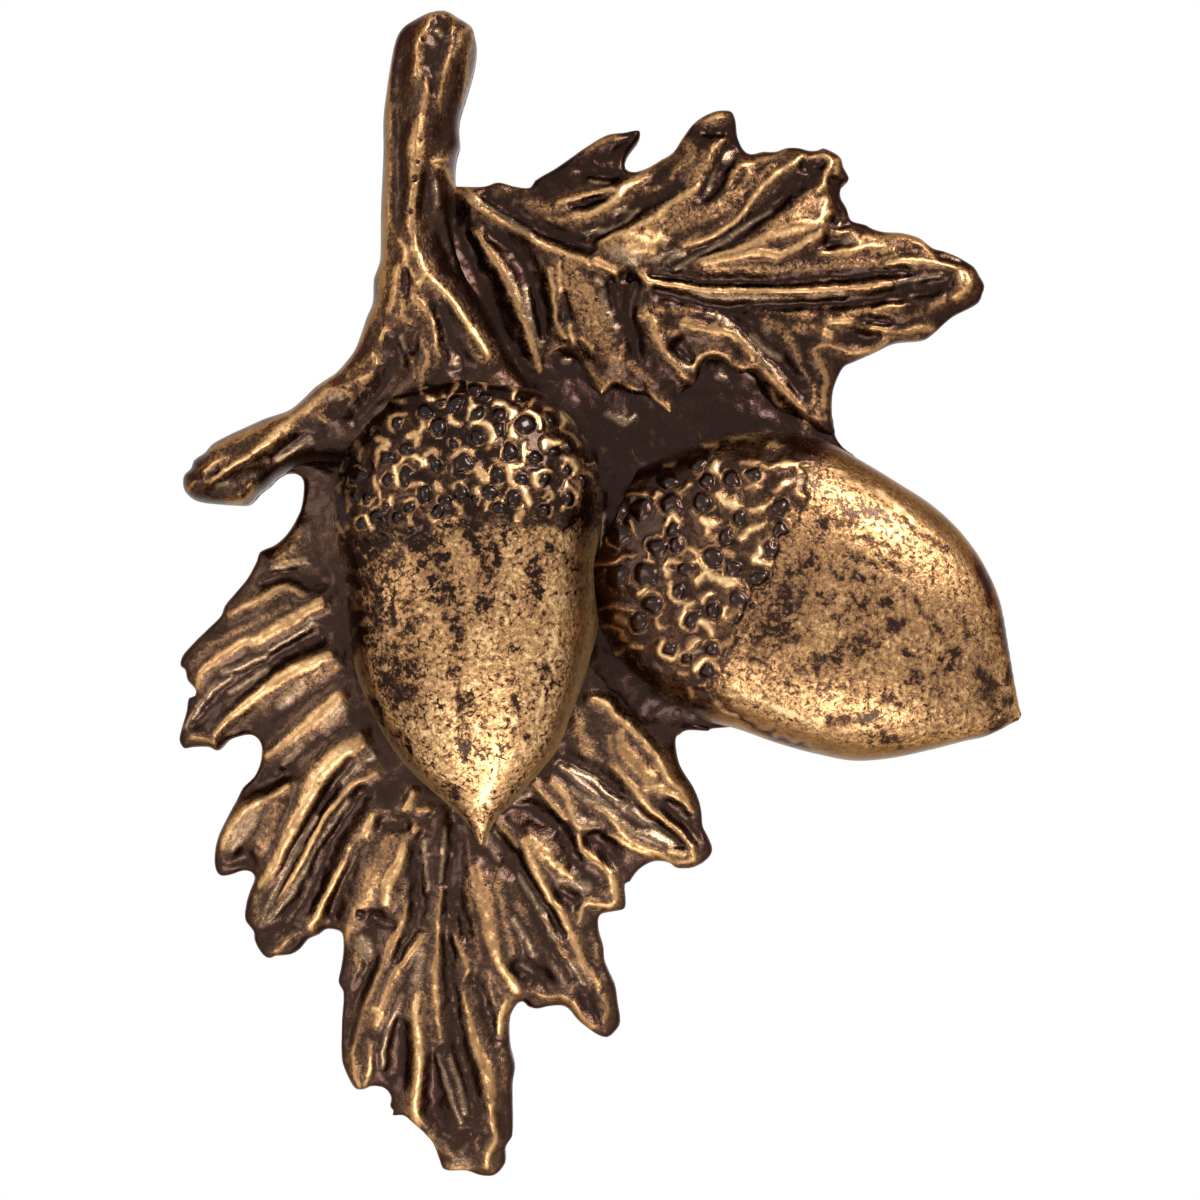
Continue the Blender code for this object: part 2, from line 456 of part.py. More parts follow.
def cap_scales(along, across, cap_length):
    """Staggered rows of small bumps over the cap."""
    row = np.floor(along / SCALE_PITCH)
    shifted = across / SCALE_PITCH + 0.5 * (row % 2)
    local_across = (shifted - np.round(shifted)) * SCALE_PITCH
    local_along = along - (row + 0.5) * SCALE_PITCH
    distance = np.hypot(local_along, local_across) / SCALE_RADIUS
    whole_rows = row < np.floor(cap_length / SCALE_PITCH)
    return np.where(whole_rows, SCALE_RISE * np.exp(-(distance**4)), 0.0)


def relief_height(places):
    """Height of the whole front above the flat back, and -inf outside the casting."""
    twig_ridges = ((TWIG_FOLDS, FOLD_RISE, FOLD_WIDTH), (TWIG_RIDGES, RIDGE_RISE, NERVE_WIDTH))
    upper_ridges = (
        (UPPER_LEAF_FOLDS, FOLD_RISE, FOLD_WIDTH),
        (UPPER_LEAF_RIDGES, RIDGE_RISE, RIDGE_WIDTH),
        (UPPER_LEAF_NERVES, NERVE_RISE, NERVE_WIDTH),
    )
    lower_ridges = (
        (LOWER_LEAF_FOLDS, FOLD_RISE, FOLD_WIDTH),
        (LOWER_LEAF_RIDGES, RIDGE_RISE, RIDGE_WIDTH),
        (LOWER_LEAF_NERVES, NERVE_RISE, NERVE_WIDTH),
    )
    leaf = (LEAF_EDGE, LEAF_RISE, LEAF_REACH, BLADE_ROUNDING)
    twig = (TWIG_EDGE, TWIG_RISE, TWIG_REACH, TWIG_ROUNDING)
    return np.max(
        [
            blade_height(places, WEB_OUTLINE, WEB_EDGE, WEB_RISE, WEB_REACH, BLADE_ROUNDING),
            blade_height(places, LOWER_LEAF_OUTLINE, *leaf, lower_ridges, LOWER_LEAF_VALLEYS),
            blade_height(places, UPPER_LEAF_OUTLINE, *leaf, upper_ridges, UPPER_LEAF_VALLEYS),
            blade_height(places, TWIG_OUTLINE, *twig, twig_ridges, TWIG_VALLEYS),
            acorn_height(places, SIDE_ACORN),
            acorn_height(places, FRONT_ACORN),
        ],
        axis=0,
    )


def acorn_outline(acorn):
    """The outline of an acorn, down its left side and back up its right side."""
    crown, ahead, aside = acorn_axes(acorn)
    key = [row[0] for row in acorn["rows"]]
    along = np.linspace(key[0], key[-1], int((key[-1] - key[0]) / OUTLINE_STEP))
    right, left, _ = stations(acorn["rows"], along).T
    centre = crown + along[:, None] * ahead
    return np.vstack([centre + right[:, None] * aside, (centre - left[:, None] * aside)[::-1]])


def all_outlines():
    """The closed outline of every form, whose union is the silhouette."""
    drawn = (TWIG_OUTLINE, UPPER_LEAF_OUTLINE, LOWER_LEAF_OUTLINE, WEB_OUTLINE)
    paths = [smooth_path(points, closed=True) for points in drawn]
    return paths + [acorn_outline(SIDE_ACORN), acorn_outline(FRONT_ACORN)]


def onto_silhouette(places, outlines):
    """Each place moved to the nearest point of the silhouette."""
    best = np.full(len(places), -np.inf)
    moved = places.copy()
    for path in outlines:
        distance, point, _, _ = nearest_on_path(places, path, closed=True)
        signed = np.where(inside_path(places, path), distance, -distance)
        deeper = signed > best
        best[deeper] = signed[deeper]
        moved[deeper] = point[deeper]
    return moved


def drawing_places(vertices):
    """Vertices read as (x, z) points of the drawing, in millimetres."""
    return np.array([(vertex.co.x, vertex.co.z) for vertex in vertices]) / MM


def cut_to_silhouette(mesh, outlines):
    """Delete the grid outside the silhouette, and draw its edge onto the silhouette."""
    mesh.faces.ensure_lookup_table()
    centres = np.array([face.calc_center_median() for face in mesh.faces])[:, (0, 2)] / MM
    kept = np.zeros(len(centres), dtype=bool)
    for path in outlines:
        kept |= inside_path(centres, path)
    spare = [face for face, keep in zip(mesh.faces, kept) if not keep]
    bmesh.ops.delete(mesh, geom=spare, context="FACES")
    while spare:
        pinched = [
            vertex for vertex in mesh.verts
            if sum(edge.is_boundary for edge in vertex.link_edges) > 2
        ]
        weak = {face for vertex in pinched for face in vertex.link_faces}
        spare = [
            face for face in mesh.faces
            if face in weak or sum(edge.is_boundary for edge in face.edges) > 2
        ]
        bmesh.ops.delete(mesh, geom=spare, context="FACES")
    border = [vertex for vertex in mesh.verts if vertex.is_boundary]
    for vertex, (x, z) in zip(border, onto_silhouette(drawing_places(border), outlines)):
        vertex.co.x = x * MM
        vertex.co.z = z * MM
    beside = {edge.other_vert(vertex) for vertex in border for edge in vertex.link_edges}
    inner = [vertex for vertex in mesh.verts if vertex in beside and not vertex.is_boundary]
    bmesh.ops.smooth_vert(
        mesh, verts=inner, factor=0.5, use_axis_x=True, use_axis_y=False, use_axis_z=True
    )


def relief_mesh():
    """The casting without its posts: a flat back, upright edges and the relief."""
    outlines = all_outlines()
    corners = np.vstack(outlines)
    low, high = corners.min(0) - GRID_STEP, corners.max(0) + GRID_STEP
    width, depth = high - low
    columns, rows = int(width / GRID_STEP), int(depth / GRID_STEP)
    mesh = bmesh.new()
    bmesh.ops.create_grid(mesh, x_segments=columns, y_segments=rows, size=0.5)
    middle = (low + high) / 2.0
    place = (
        Matrix.Translation((middle[0] * MM, -STANDOFF * MM, middle[1] * MM))
        @ Matrix.Rotation(np.pi / 2.0, 4, "X")
        @ Matrix.Diagonal((width * MM, depth * MM, 1.0, 1.0))
    )
    bmesh.ops.transform(mesh, matrix=place, verts=mesh.verts)
    cut_to_silhouette(mesh, outlines)
    raised = bmesh.ops.extrude_face_region(mesh, geom=mesh.faces[:], use_keep_orig=True)
    front = [item for item in raised["geom"] if isinstance(item, bmesh.types.BMVert)]
    places = drawing_places(front)
    heights = relief_height(places)
    lost = ~np.isfinite(heights)
    heights[lost] = relief_height(places[lost] * 0.999)
    heights = np.maximum(np.where(np.isfinite(heights), heights, WEB_EDGE), 1.0)
    for vertex, height in zip(front, heights):
        vertex.co.y -= height * MM
    bmesh.ops.recalc_face_normals(mesh, faces=mesh.faces)
    sort_elements(mesh)
    return mesh


def sort_elements(mesh):
    """Put vertices, edges and faces in an order that depends on their places alone."""
    order = sorted(mesh.verts, key=lambda vertex: (vertex.co.x, vertex.co.z, vertex.co.y))
    rank = {vertex: place for place, vertex in enumerate(order)}
    mesh.verts.sort(key=rank.get)
    for elements in (mesh.edges, mesh.faces):
        order = sorted(elements, key=lambda item: sorted(rank[vertex] for vertex in item.verts))
        place = {item: position for position, item in enumerate(order)}
        elements.sort(key=place.get)


def brass_material():
    """Cast brass with an antique finish."""
    material = bpy.data.materials.new("antique_cast_brass")
    material.use_nodes = True
    shader = material.node_tree.nodes["Principled BSDF"]
    shader.inputs["Base Color"].default_value = CAST_BRASS
    shader.inputs["Metallic"].default_value = 1.0
    shader.inputs["Roughness"].default_value = 0.38
    return material


def new_object(name, mesh):
    """A scene object made from a finished bmesh."""
    data = bpy.data.meshes.new(name)
    mesh.to_mesh(data)
    mesh.free()
    item = bpy.data.objects.new(name, data)
    bpy.context.scene.collection.objects.link(item)
    return item


def post_mesh():
    """One post with its blind screw hole, turned about its own axis and standing on Y = 0."""
    top = (STANDOFF + POST_SEAT) * MM
    foot, root = POST_FOOT_RADIUS * MM, POST_ROOT_RADIUS * MM
    hole, depth = SCREW_HOLE_RADIUS * MM, SCREW_HOLE_DEPTH * MM
    profile = ((0.0, -depth), (hole, -depth), (hole, 0.0), (foot, 0.0), (root, -top), (0.0, -top))
    mesh = bmesh.new()
    points = [mesh.verts.new((x, y, 0.0)) for x, y in profile]
    edges = [mesh.edges.new(pair) for pair in zip(points, points[1:])]
    bmesh.ops.spin(
        mesh, geom=points + edges, cent=(0.0, 0.0, 0.0), axis=(0.0, 1.0, 0.0), dvec=(0.0, 0.0, 0.0),
        angle=2.0 * np.pi, steps=POST_SIDES, use_merge=True,
    )
    bmesh.ops.remove_doubles(mesh, verts=mesh.verts, dist=0.01 * MM)
    bmesh.ops.recalc_face_normals(mesh, faces=mesh.faces)
    return mesh


def main():
    """Model the pull."""
    for item in list(bpy.data.objects):
        bpy.data.objects.remove(item, do_unlink=True)
    casting = new_object("casting", relief_mesh())
    casting.data.materials.append(brass_material())
    thin = casting.modifiers.new("thin_the_mesh", "DECIMATE")
    thin.decimate_type = "COLLAPSE"
    thin.ratio = min(1.0, BODY_FACES / (2 * len(casting.data.polygons)))
    for name, side in (("upper_post", 0.5), ("lower_post", -0.5)):
        post = new_object(name, post_mesh())
        post.location = (0.0, 0.0, side * POST_SPACING * MM)
        post.hide_render = True
        post.display_type = "WIRE"
        join = casting.modifiers.new("join_" + name, "BOOLEAN")
        join.operation = "UNION"
        join.solver = "EXACT"
        join.object = post
    casting.data.shade_smooth()


main()
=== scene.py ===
"""Antique finish and fine relief of a cast acorn branch drawer pull.

The drawing plane is the drawer front: x runs to the right and z up, both in millimetres from
the middle between the two posts. Heights are millimetres above the casting's flat back and
point towards the hand. Every form is a relief over that plane, and the pieces overlap as the
forms of the casting do.
"""
import logging
import math
from collections.abc import Sequence
from dataclasses import dataclass
from enum import Enum

import bmesh
import bpy
import numpy as np
from mathutils import Matrix, Vector


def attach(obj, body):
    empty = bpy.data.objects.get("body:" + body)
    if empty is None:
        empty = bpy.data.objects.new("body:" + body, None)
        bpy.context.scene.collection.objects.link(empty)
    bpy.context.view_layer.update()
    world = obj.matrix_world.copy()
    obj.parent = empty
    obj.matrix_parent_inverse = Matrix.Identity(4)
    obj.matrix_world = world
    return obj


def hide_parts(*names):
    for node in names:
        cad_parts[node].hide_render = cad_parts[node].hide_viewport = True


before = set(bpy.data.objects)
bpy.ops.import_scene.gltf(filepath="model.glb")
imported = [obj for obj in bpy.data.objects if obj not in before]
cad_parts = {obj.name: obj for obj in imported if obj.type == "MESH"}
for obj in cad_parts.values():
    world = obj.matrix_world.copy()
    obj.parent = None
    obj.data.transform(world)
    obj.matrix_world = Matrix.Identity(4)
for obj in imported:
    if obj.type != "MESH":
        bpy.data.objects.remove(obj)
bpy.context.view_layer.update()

LOG = logging.getLogger("acorn_branch_pull")

# Metres in a millimetre, and millimetres from the drawer front to the casting's flat back
MM = 0.001
STANDOFF = 14.0
BODY = "root"
CASTING = "casting"
# What a mesh tells its material: how far rubbed and flecked it is, its painted sheen and glossy beads,
# and how steep
LAYERS = ("rub", "fleck", "painted_sheen_and_gloss", "wall")
# What a stroke's x, z and half width are divided by to give millimetres
STROKE_UNITS = (1.0, 1.0, 100.0)
# Least height in mm of a relief's wall over its base
LEAST_WALL = 0.3

Point = tuple[float, float]
Polyline = Sequence[Point]
# Rows of x, z and half width for a stroke, and of x, z and radius for spots. The half width
# is in hundredths of a millimetre.
Stroke = Sequence[tuple[float, float, float]]
Spots = Sequence[tuple[float, float, float]]
Colour = tuple[float, float, float, float]


def linear(value: float) -> float:
    """Return the linear share of a 0 to 255 display value."""
    share = value / 255.0
    return share / 12.92 if share <= 0.04045 else ((share + 0.055) / 1.055) ** 2.4


def colour(red: float, green: float, blue: float) -> Colour:
    """Return the linear colour of 0 to 255 display values."""
    return linear(red), linear(green), linear(blue), 1.0


class Mark(Enum):
    """A kind of carved mark: rise in mm, rise for each mm of half width, and rub."""

    BRIGHT = (0.14, 0.6, 1.0)
    TAN = (0.1, 0.5, 0.8)
    FAINT = (0.05, 0.25, 0.6)
    # Painted sheen: a low line painted a light silvery colour, standing in for light reflected on the
    # dark lacquer
    PAINTED_SHEEN = (0.14, 0.35, 0.0)
    DARK = (-0.22, -0.6, 0.0)
    STAIN = (-0.02, -0.03, 0.0)
    MOUND = (0.3, 0.3, 0.0)
    # Painted glint: rub raised with no relief, a highlight painted where light catches a nut
    PAINTED_GLINT = (0.0, 0.0, 0.14)

    def __init__(self, start: float, growth: float, rub: float) -> None:
        """Keep the numbers of one kind."""
        self.start = start
        self.growth = growth
        self.rub = rub

    def rise(self, half: np.ndarray) -> np.ndarray:
        """Return the height of the crest, or minus the depth, for each half width."""
        return self.start + self.growth * half


# The strokes of each kind of mark, drawn over the photograph
MarkSet = dict[Mark, Sequence[Stroke]]

TWIG_OUTLINE: Polyline = (
    (-4.65, 30.8), (-4.6, 35), (-4.4, 40), (-4.4, 42.5), (-4.1, 45), (-3.8, 47), (-3.4, 49),
    (-2.9, 50), (-1.9, 50.7), (-0.4, 51.4), (0.8, 51.5), (1.7, 51), (2.9, 50.2), (3.2, 49.4),
    (3.3, 48.5), (3.2, 47.5), (3, 46.5), (2.6, 45.1), (2.2, 43.8), (1.9, 42.8), (1.8, 41.8),
    (1.9, 40.4), (1.65, 39.6), (1.5, 38.5), (1.5, 37.5), (1.7, 36), (1.6, 33), (2.6, 30),
    (4.6, 26.5), (6.6, 22.6), (8.4, 19.4), (6, 15), (0, 14), (-6, 13.8), (-8.5, 13.9),
    (-10.6, 13.9), (-13.3, 12.7), (-14, 12), (-14.9, 11.3), (-15.3, 10.8), (-15.8, 10.4),
    (-16.7, 10.4), (-18.3, 10.5), (-20, 10.75), (-20.9, 11.5), (-21.1, 12.2), (-21, 12.9),
    (-20.4, 13.5), (-20.2, 14.1), (-19.2, 14.8), (-18.7, 15.4), (-17.5, 16.1), (-15.8, 16.9),
    (-14.2, 17.6), (-12.2, 18.3), (-11, 19.3), (-10, 20.25), (-8.3, 21.4), (-7.5, 22.3),
    (-6.8, 23.25), (-6.3, 24.5), (-5.8, 26), (-5.3, 27.2), (-5.2, 29.2), (-4.9, 30),
)
UPPER_LEAF_OUTLINE: Polyline = (
    (1.7, 37), (4, 37), (5.1, 37.35), (6.5, 37), (7.8, 36.9), (8.2, 37.5), (10, 38.6),
    (12.2, 40.1), (14.2, 41.3), (15.5, 41.5), (16.9, 41.7), (16.9, 41), (16.3, 40.2),
    (15.75, 39.3), (15.75, 38.5), (16.4, 38.2), (17.5, 38.5), (18.7, 39.2), (19.7, 39.8),
    (20.5, 41), (21.5, 42.3), (23, 43.2), (24.5, 43.3), (24.9, 42.6), (25.1, 41.2), (25.6, 40.1),
    (26.2, 39.7), (27.2, 39.9), (28.3, 39.9), (29.2, 40.2), (30.2, 40.2), (31, 40), (31.75, 40),
    (32.25, 40.2), (33.2, 39.8), (33.75, 39.3), (33.9, 38.7), (34.4, 37.6), (33.8, 37),
    (33.7, 36.2), (34.2, 35.2), (34.5, 34.2), (35, 34), (35.8, 33.8), (36.3, 33.5), (37.3, 33.2),
    (38.8, 33.1), (40.2, 32.7), (41.3, 31.9), (42.3, 31.6), (43.7, 31), (44.8, 30.3),
    (45.3, 29.5), (45.7, 28.7), (45.5, 28), (45.2, 27.3), (43.3, 26.3), (42.3, 25.5),
    (41.5, 24.75), (40.7, 24.25), (38.3, 24), (36.7, 23.25), (35, 22.5), (34, 22), (33.3, 20.7),
    (33, 19.5), (33, 17.5), (33.2, 16.3), (31.6, 16), (30.3, 17.2), (28.9, 17.9), (27.8, 18.6),
    (27, 20), (26.4, 21.4), (24.9, 21), (24, 22.2), (22.6, 22.4), (21.9, 20.6), (20.4, 19),
    (19.8, 17.2), (18.6, 18), (17.4, 19.3), (16, 19.6), (14.9, 20.2), (13.7, 19.3), (12.7, 20.6),
    (11.6, 22.6), (10.2, 23), (9.6, 21.6), (9.2, 19.6), (8, 17), (0, 16), (-2, 22), (-3.5, 28),
    (-2, 34), (0, 37),
)
LOWER_LEAF_OUTLINE: Polyline = (
    (22.8, -8.3), (20.8, -8.4), (20, -8.9), (20, -10.1), (20.3, -11.3), (20.8, -12.2),
    (21.4, -13.1), (21.9, -14.3), (22.1, -15.3), (22.2, -16.4), (22.7, -17.4), (23, -18.4),
    (22.5, -19.2), (21.4, -19.8), (20.5, -19.9), (19.9, -19.8), (19.4, -19.4), (18.15, -19.3),
    (17.1, -19.8), (16.5, -20.4), (16.1, -21), (15.7, -21.2), (15.7, -23.2), (14.7, -23.5),
    (13.6, -23.8), (13.5, -25.1), (13.9, -26.5), (14, -27.7), (14.5, -28.9), (14.9, -29.8),
    (15.1, -31.2), (15.3, -32.8), (14.8, -33.6), (14.2, -34), (13.5, -33.8), (12.9, -33.4),
    (11.85, -32.6), (10.7, -31.4), (9.3, -31.4), (8.4, -31.6), (7.6, -31.4), (7.2, -31),
    (6.7, -31.2), (6.1, -32.4), (6.1, -34.8), (6.5, -36.5), (6.3, -38), (6.3, -42.2), (6, -42.7),
    (5.7, -43.3), (5.7, -44.5), (4.8, -45.5), (3.6, -45.5), (2.5, -45.1), (0.6, -45),
    (0.25, -44.2), (-0.3, -42.8), (-1.2, -41.8), (-2, -41.1), (-2.8, -40.5), (-3.7, -40.5),
    (-3.6, -40.1), (-3.9, -39.8), (-3.8, -39), (-4.3, -38.3), (-4.9, -38.1), (-5.6, -38.1),
    (-6, -38.3), (-6.75, -38.3), (-7.4, -37.3), (-7.9, -35.8), (-7.9, -32.5), (-7.8, -30.2),
    (-8.2, -29.4), (-8, -28.2), (-7.8, -26.7), (-7.9, -25.3), (-8.5, -25), (-9.3, -25),
    (-9.8, -25.4), (-10.7, -25.8), (-11.5, -26.7), (-12.3, -27.1), (-13.5, -27.2), (-13.9, -27.4),
    (-14.4, -27.2), (-14.9, -26.6), (-15.25, -25.8), (-15.3, -25.2), (-16, -24.2), (-15.9, -22.8),
    (-15.6, -21.8), (-15.2, -20.7), (-15.5, -20.2), (-16.2, -20.1), (-17.25, -20.45),
    (-18.1, -20.5), (-18.5, -19.8), (-18.5, -18.5), (-18.2, -17.2), (-17.3, -15.3),
    (-16.7, -14.2), (-16.2, -13.2), (-15.2, -12.2), (-14.7, -11), (-14.6, -9.8), (-14.9, -9.1),
    (-15.5, -8.75), (-16.5, -8.9), (-17.5, -9.3), (-18.25, -10.1), (-18.9, -9.8), (-19.5, -9.75),
    (-20.5, -9.8), (-21.1, -9.9), (-21.5, -9.2), (-21.3, -8.2), (-20.9, -6.8), (-20.7, -5.7),
    (-20.2, -5.5), (-20.1, -5), (-20.8, -4.2), (-21, -3.3), (-21.4, -3), (-21.25, -2.2),
    (-20.3, -1.1), (-19.2, 0), (-18, 1.2), (-17.7, 2), (-16.7, 3.2), (-15.8, 4.3), (-15, 5.8),
    (-14.75, 6.5), (-13.5, 7.1), (-12.5, 8), (-11.5, 9.7), (-11.2, 10.8), (-11.1, 12.2),
    (-11.3, 12.75), (-12, 13.1), (-12.7, 13.1), (-12, 14.2), (-8, 15), (2, 14), (12, 6), (17, -4),
)
WEB_OUTLINE: Polyline = (
    (5, 24), (10, 24.4), (14, 21.5), (19, 20.5), (22, 23.2), (26, 22.4), (28, 20), (32.6, 18.6),
    (33.1, 17.5), (33.3, 16.2), (34, 15.2), (35, 14.3), (34, 10), (26, -7.4), (22.8, -8.3),
    (20.8, -8.4), (20, -8.9), (17, -9.4), (13, -7.5), (8, -3), (6, 10),
)
TWIG_MARKS: MarkSet = {
    Mark.BRIGHT: (
        ((-0.3, 50.7, 18), (-0.55, 49.7, 18), (-1.35, 48, 14), (-1.3, 46.6, 14), (-1.5, 45.5, 18)),
        ((0, 50.8, 12), (0.8, 50.9, 10)), ((1.3, 50.9, 18), (1.9, 50.5, 22)), ((1.2, 47.1, 14),
        (0.85, 45.6, 16)), ((0.1, 38.4, 12), (1, 38.9, 12)), ((0.2, 38.1, 16), (0.9, 38, 20),
        (1.2, 37.3, 16), (1.7, 36.7, 20)), ((-2.8, 32, 20), (-2.3, 31.2, 30), (-2.3, 30.3, 30)),
        ((-8.8, 19.8, 35), (-9.7, 18.8, 45), (-11.8, 17.3, 35), (-13.6, 15.4, 45), (-14.7, 14.6, 28)),
        ((-15.1, 14.3, 25), (-17.3, 13, 16), (-18.4, 12, 12)), ((-17.1, 14.2, 10), (-18.1, 13.7, 15),
        (-18.8, 13, 15)), ((-17.3, 10.55, 8), (-16, 10.7, 15), (-15.2, 11.5, 12), (-15.1, 12, 15)),
        ((-1.6, 31.3, 25), (-0.65, 29.1, 30), (-1.2, 28.3, 25)), ((-2.3, 30, 16), (-1.6, 28.9, 16)),
        ((-0.3, 28.9, 25), (0.8, 27.8, 25), (3.3, 24.4, 30), (4.5, 22.5, 25)), ((-4, 24.8, 16),
        (-4.35, 23.8, 20)), ((-5, 22.7, 20), (-4.9, 21.9, 14)), ((-5.9, 20.6, 30), (-5.2, 20.9, 25)),
        ((-9.3, 17.4, 18), (-8.9, 17.1, 14)),
    ),
    Mark.TAN: (
        ((-3.1, 49.3, 15), (-3.6, 47.5, 20), (-3.9, 45, 32), (-3.8, 42, 40), (-4.35, 28.9, 45),
        (-4.7, 26.9, 45), (-7.3, 22.2, 35), (-9.2, 20.5, 28), (-12.3, 17.9, 26), (-16.8, 15.6, 45),
        (-18.4, 14.9, 25)), ((1.6, 50.4, 16), (1.5, 48.4, 20), (0.55, 44, 16), (0.4, 42.5, 12)),
        ((2.7, 49.9, 25), (1.6, 47.1, 20)), ((3.1, 49.3, 12), (1.9, 42, 12)), ((-0.45, 45.1, 25),
        (-0.85, 42.7, 35), (-1.4, 40.3, 68), (-1.4, 38.8, 75), (-1.5, 36.4, 48), (-1.95, 33, 26),
        (-1.2, 31, 26)), ((-2.9, 29.8, 40), (-3.2, 28, 45), (-3.8, 26.1, 32)), ((-2.5, 26.9, 25),
        (-2.5, 25.5, 20), (-1.9, 25.2, 10)), ((-1.8, 27.8, 28), (-1.2, 26.7, 40), (-0.3, 25.9, 32),
        (0.1, 24.6, 18), (0.3, 22, 10)), ((-1, 23.7, 12), (-0.5, 22.4, 25), (-0.8, 21.1, 20),
        (-1, 19.8, 15)), ((-19.7, 12.2, 16), (-20.5, 11.6, 25)), ((-9.4, 19.5, 20), (-7.7, 19.8, 18),
        (-6.8, 19.1, 15)),
    ),
    Mark.FAINT: (
        ((-7, 21, 35), (-5.2, 22.4, 30)), ((-3.6, 24.6, 30), (-3, 25.6, 30)), ((-7.6, 19.9, 35),
        (-6.4, 20.4, 30)), ((-19.3, 13.2, 30), (-20.2, 12.9, 25)), ((-9, 18.2, 30), (-9.9, 17.5, 25)),
        ((2.6, 23.6, 30), (4, 22, 30)), ((-1.9, 22.4, 20), (-1.5, 20.6, 20)), ((-2.6, 43, 12),
        (-2.7, 42.2, 15)),
    ),
    Mark.PAINTED_SHEEN: (
        ((-2.7, 23.9, 14), (-2.5, 23.2, 16)), ((-10.3, 15.9, 12), (-12.9, 14, 12)), ((-13.7, 13.9, 12),
        (-15.2, 13.6, 10)), ((-17.8, 11.9, 15), (-17.1, 12, 10)), ((0.1, 36.8, 10), (0.3, 35.1, 14)),
        ((1.8, 22.3, 15), (1.8, 21.8, 15)), ((0.2, 49.2, 20), (0.6, 49, 15)), ((-8.4, 19.2, 25),
        (-7.6, 19.3, 20)),
    ),
    Mark.DARK: (
        ((-2.5, 49.6, 50), (-2.8, 46, 60), (-2.9, 37.4, 40), (-2.9, 34, 45)), ((0.4, 49.8, 50),
        (0.3, 47.4, 50), (-0.3, 46.2, 40), (0.1, 44.2, 20)), ((1.9, 45.6, 40), (0.8, 40.6, 50)),
        ((-0.6, 37, 30), (-0.8, 34.6, 50), (0.4, 32.6, 60), (1.6, 30, 50)), ((-2.2, 29.4, 18),
        (-2.2, 27.6, 20)), ((0.5, 26.4, 50), (1.4, 24, 70), (2.2, 21.8, 70)), ((-3.2, 24, 50),
        (-3, 21.6, 80), (-4.6, 19.4, 60), (-6.4, 17.6, 60)), ((-9.6, 16.6, 40), (-12, 15.2, 35),
        (-16.4, 12.2, 50), (-18.4, 11.6, 30)), ((-17.8, 13.2, 20), (-18.4, 12.8, 15)),
        ((-19.4, 12.7, 20), (-20.6, 12.7, 20)), ((-1.6, 24.4, 30), (-1.9, 23, 40)),
    ),
}
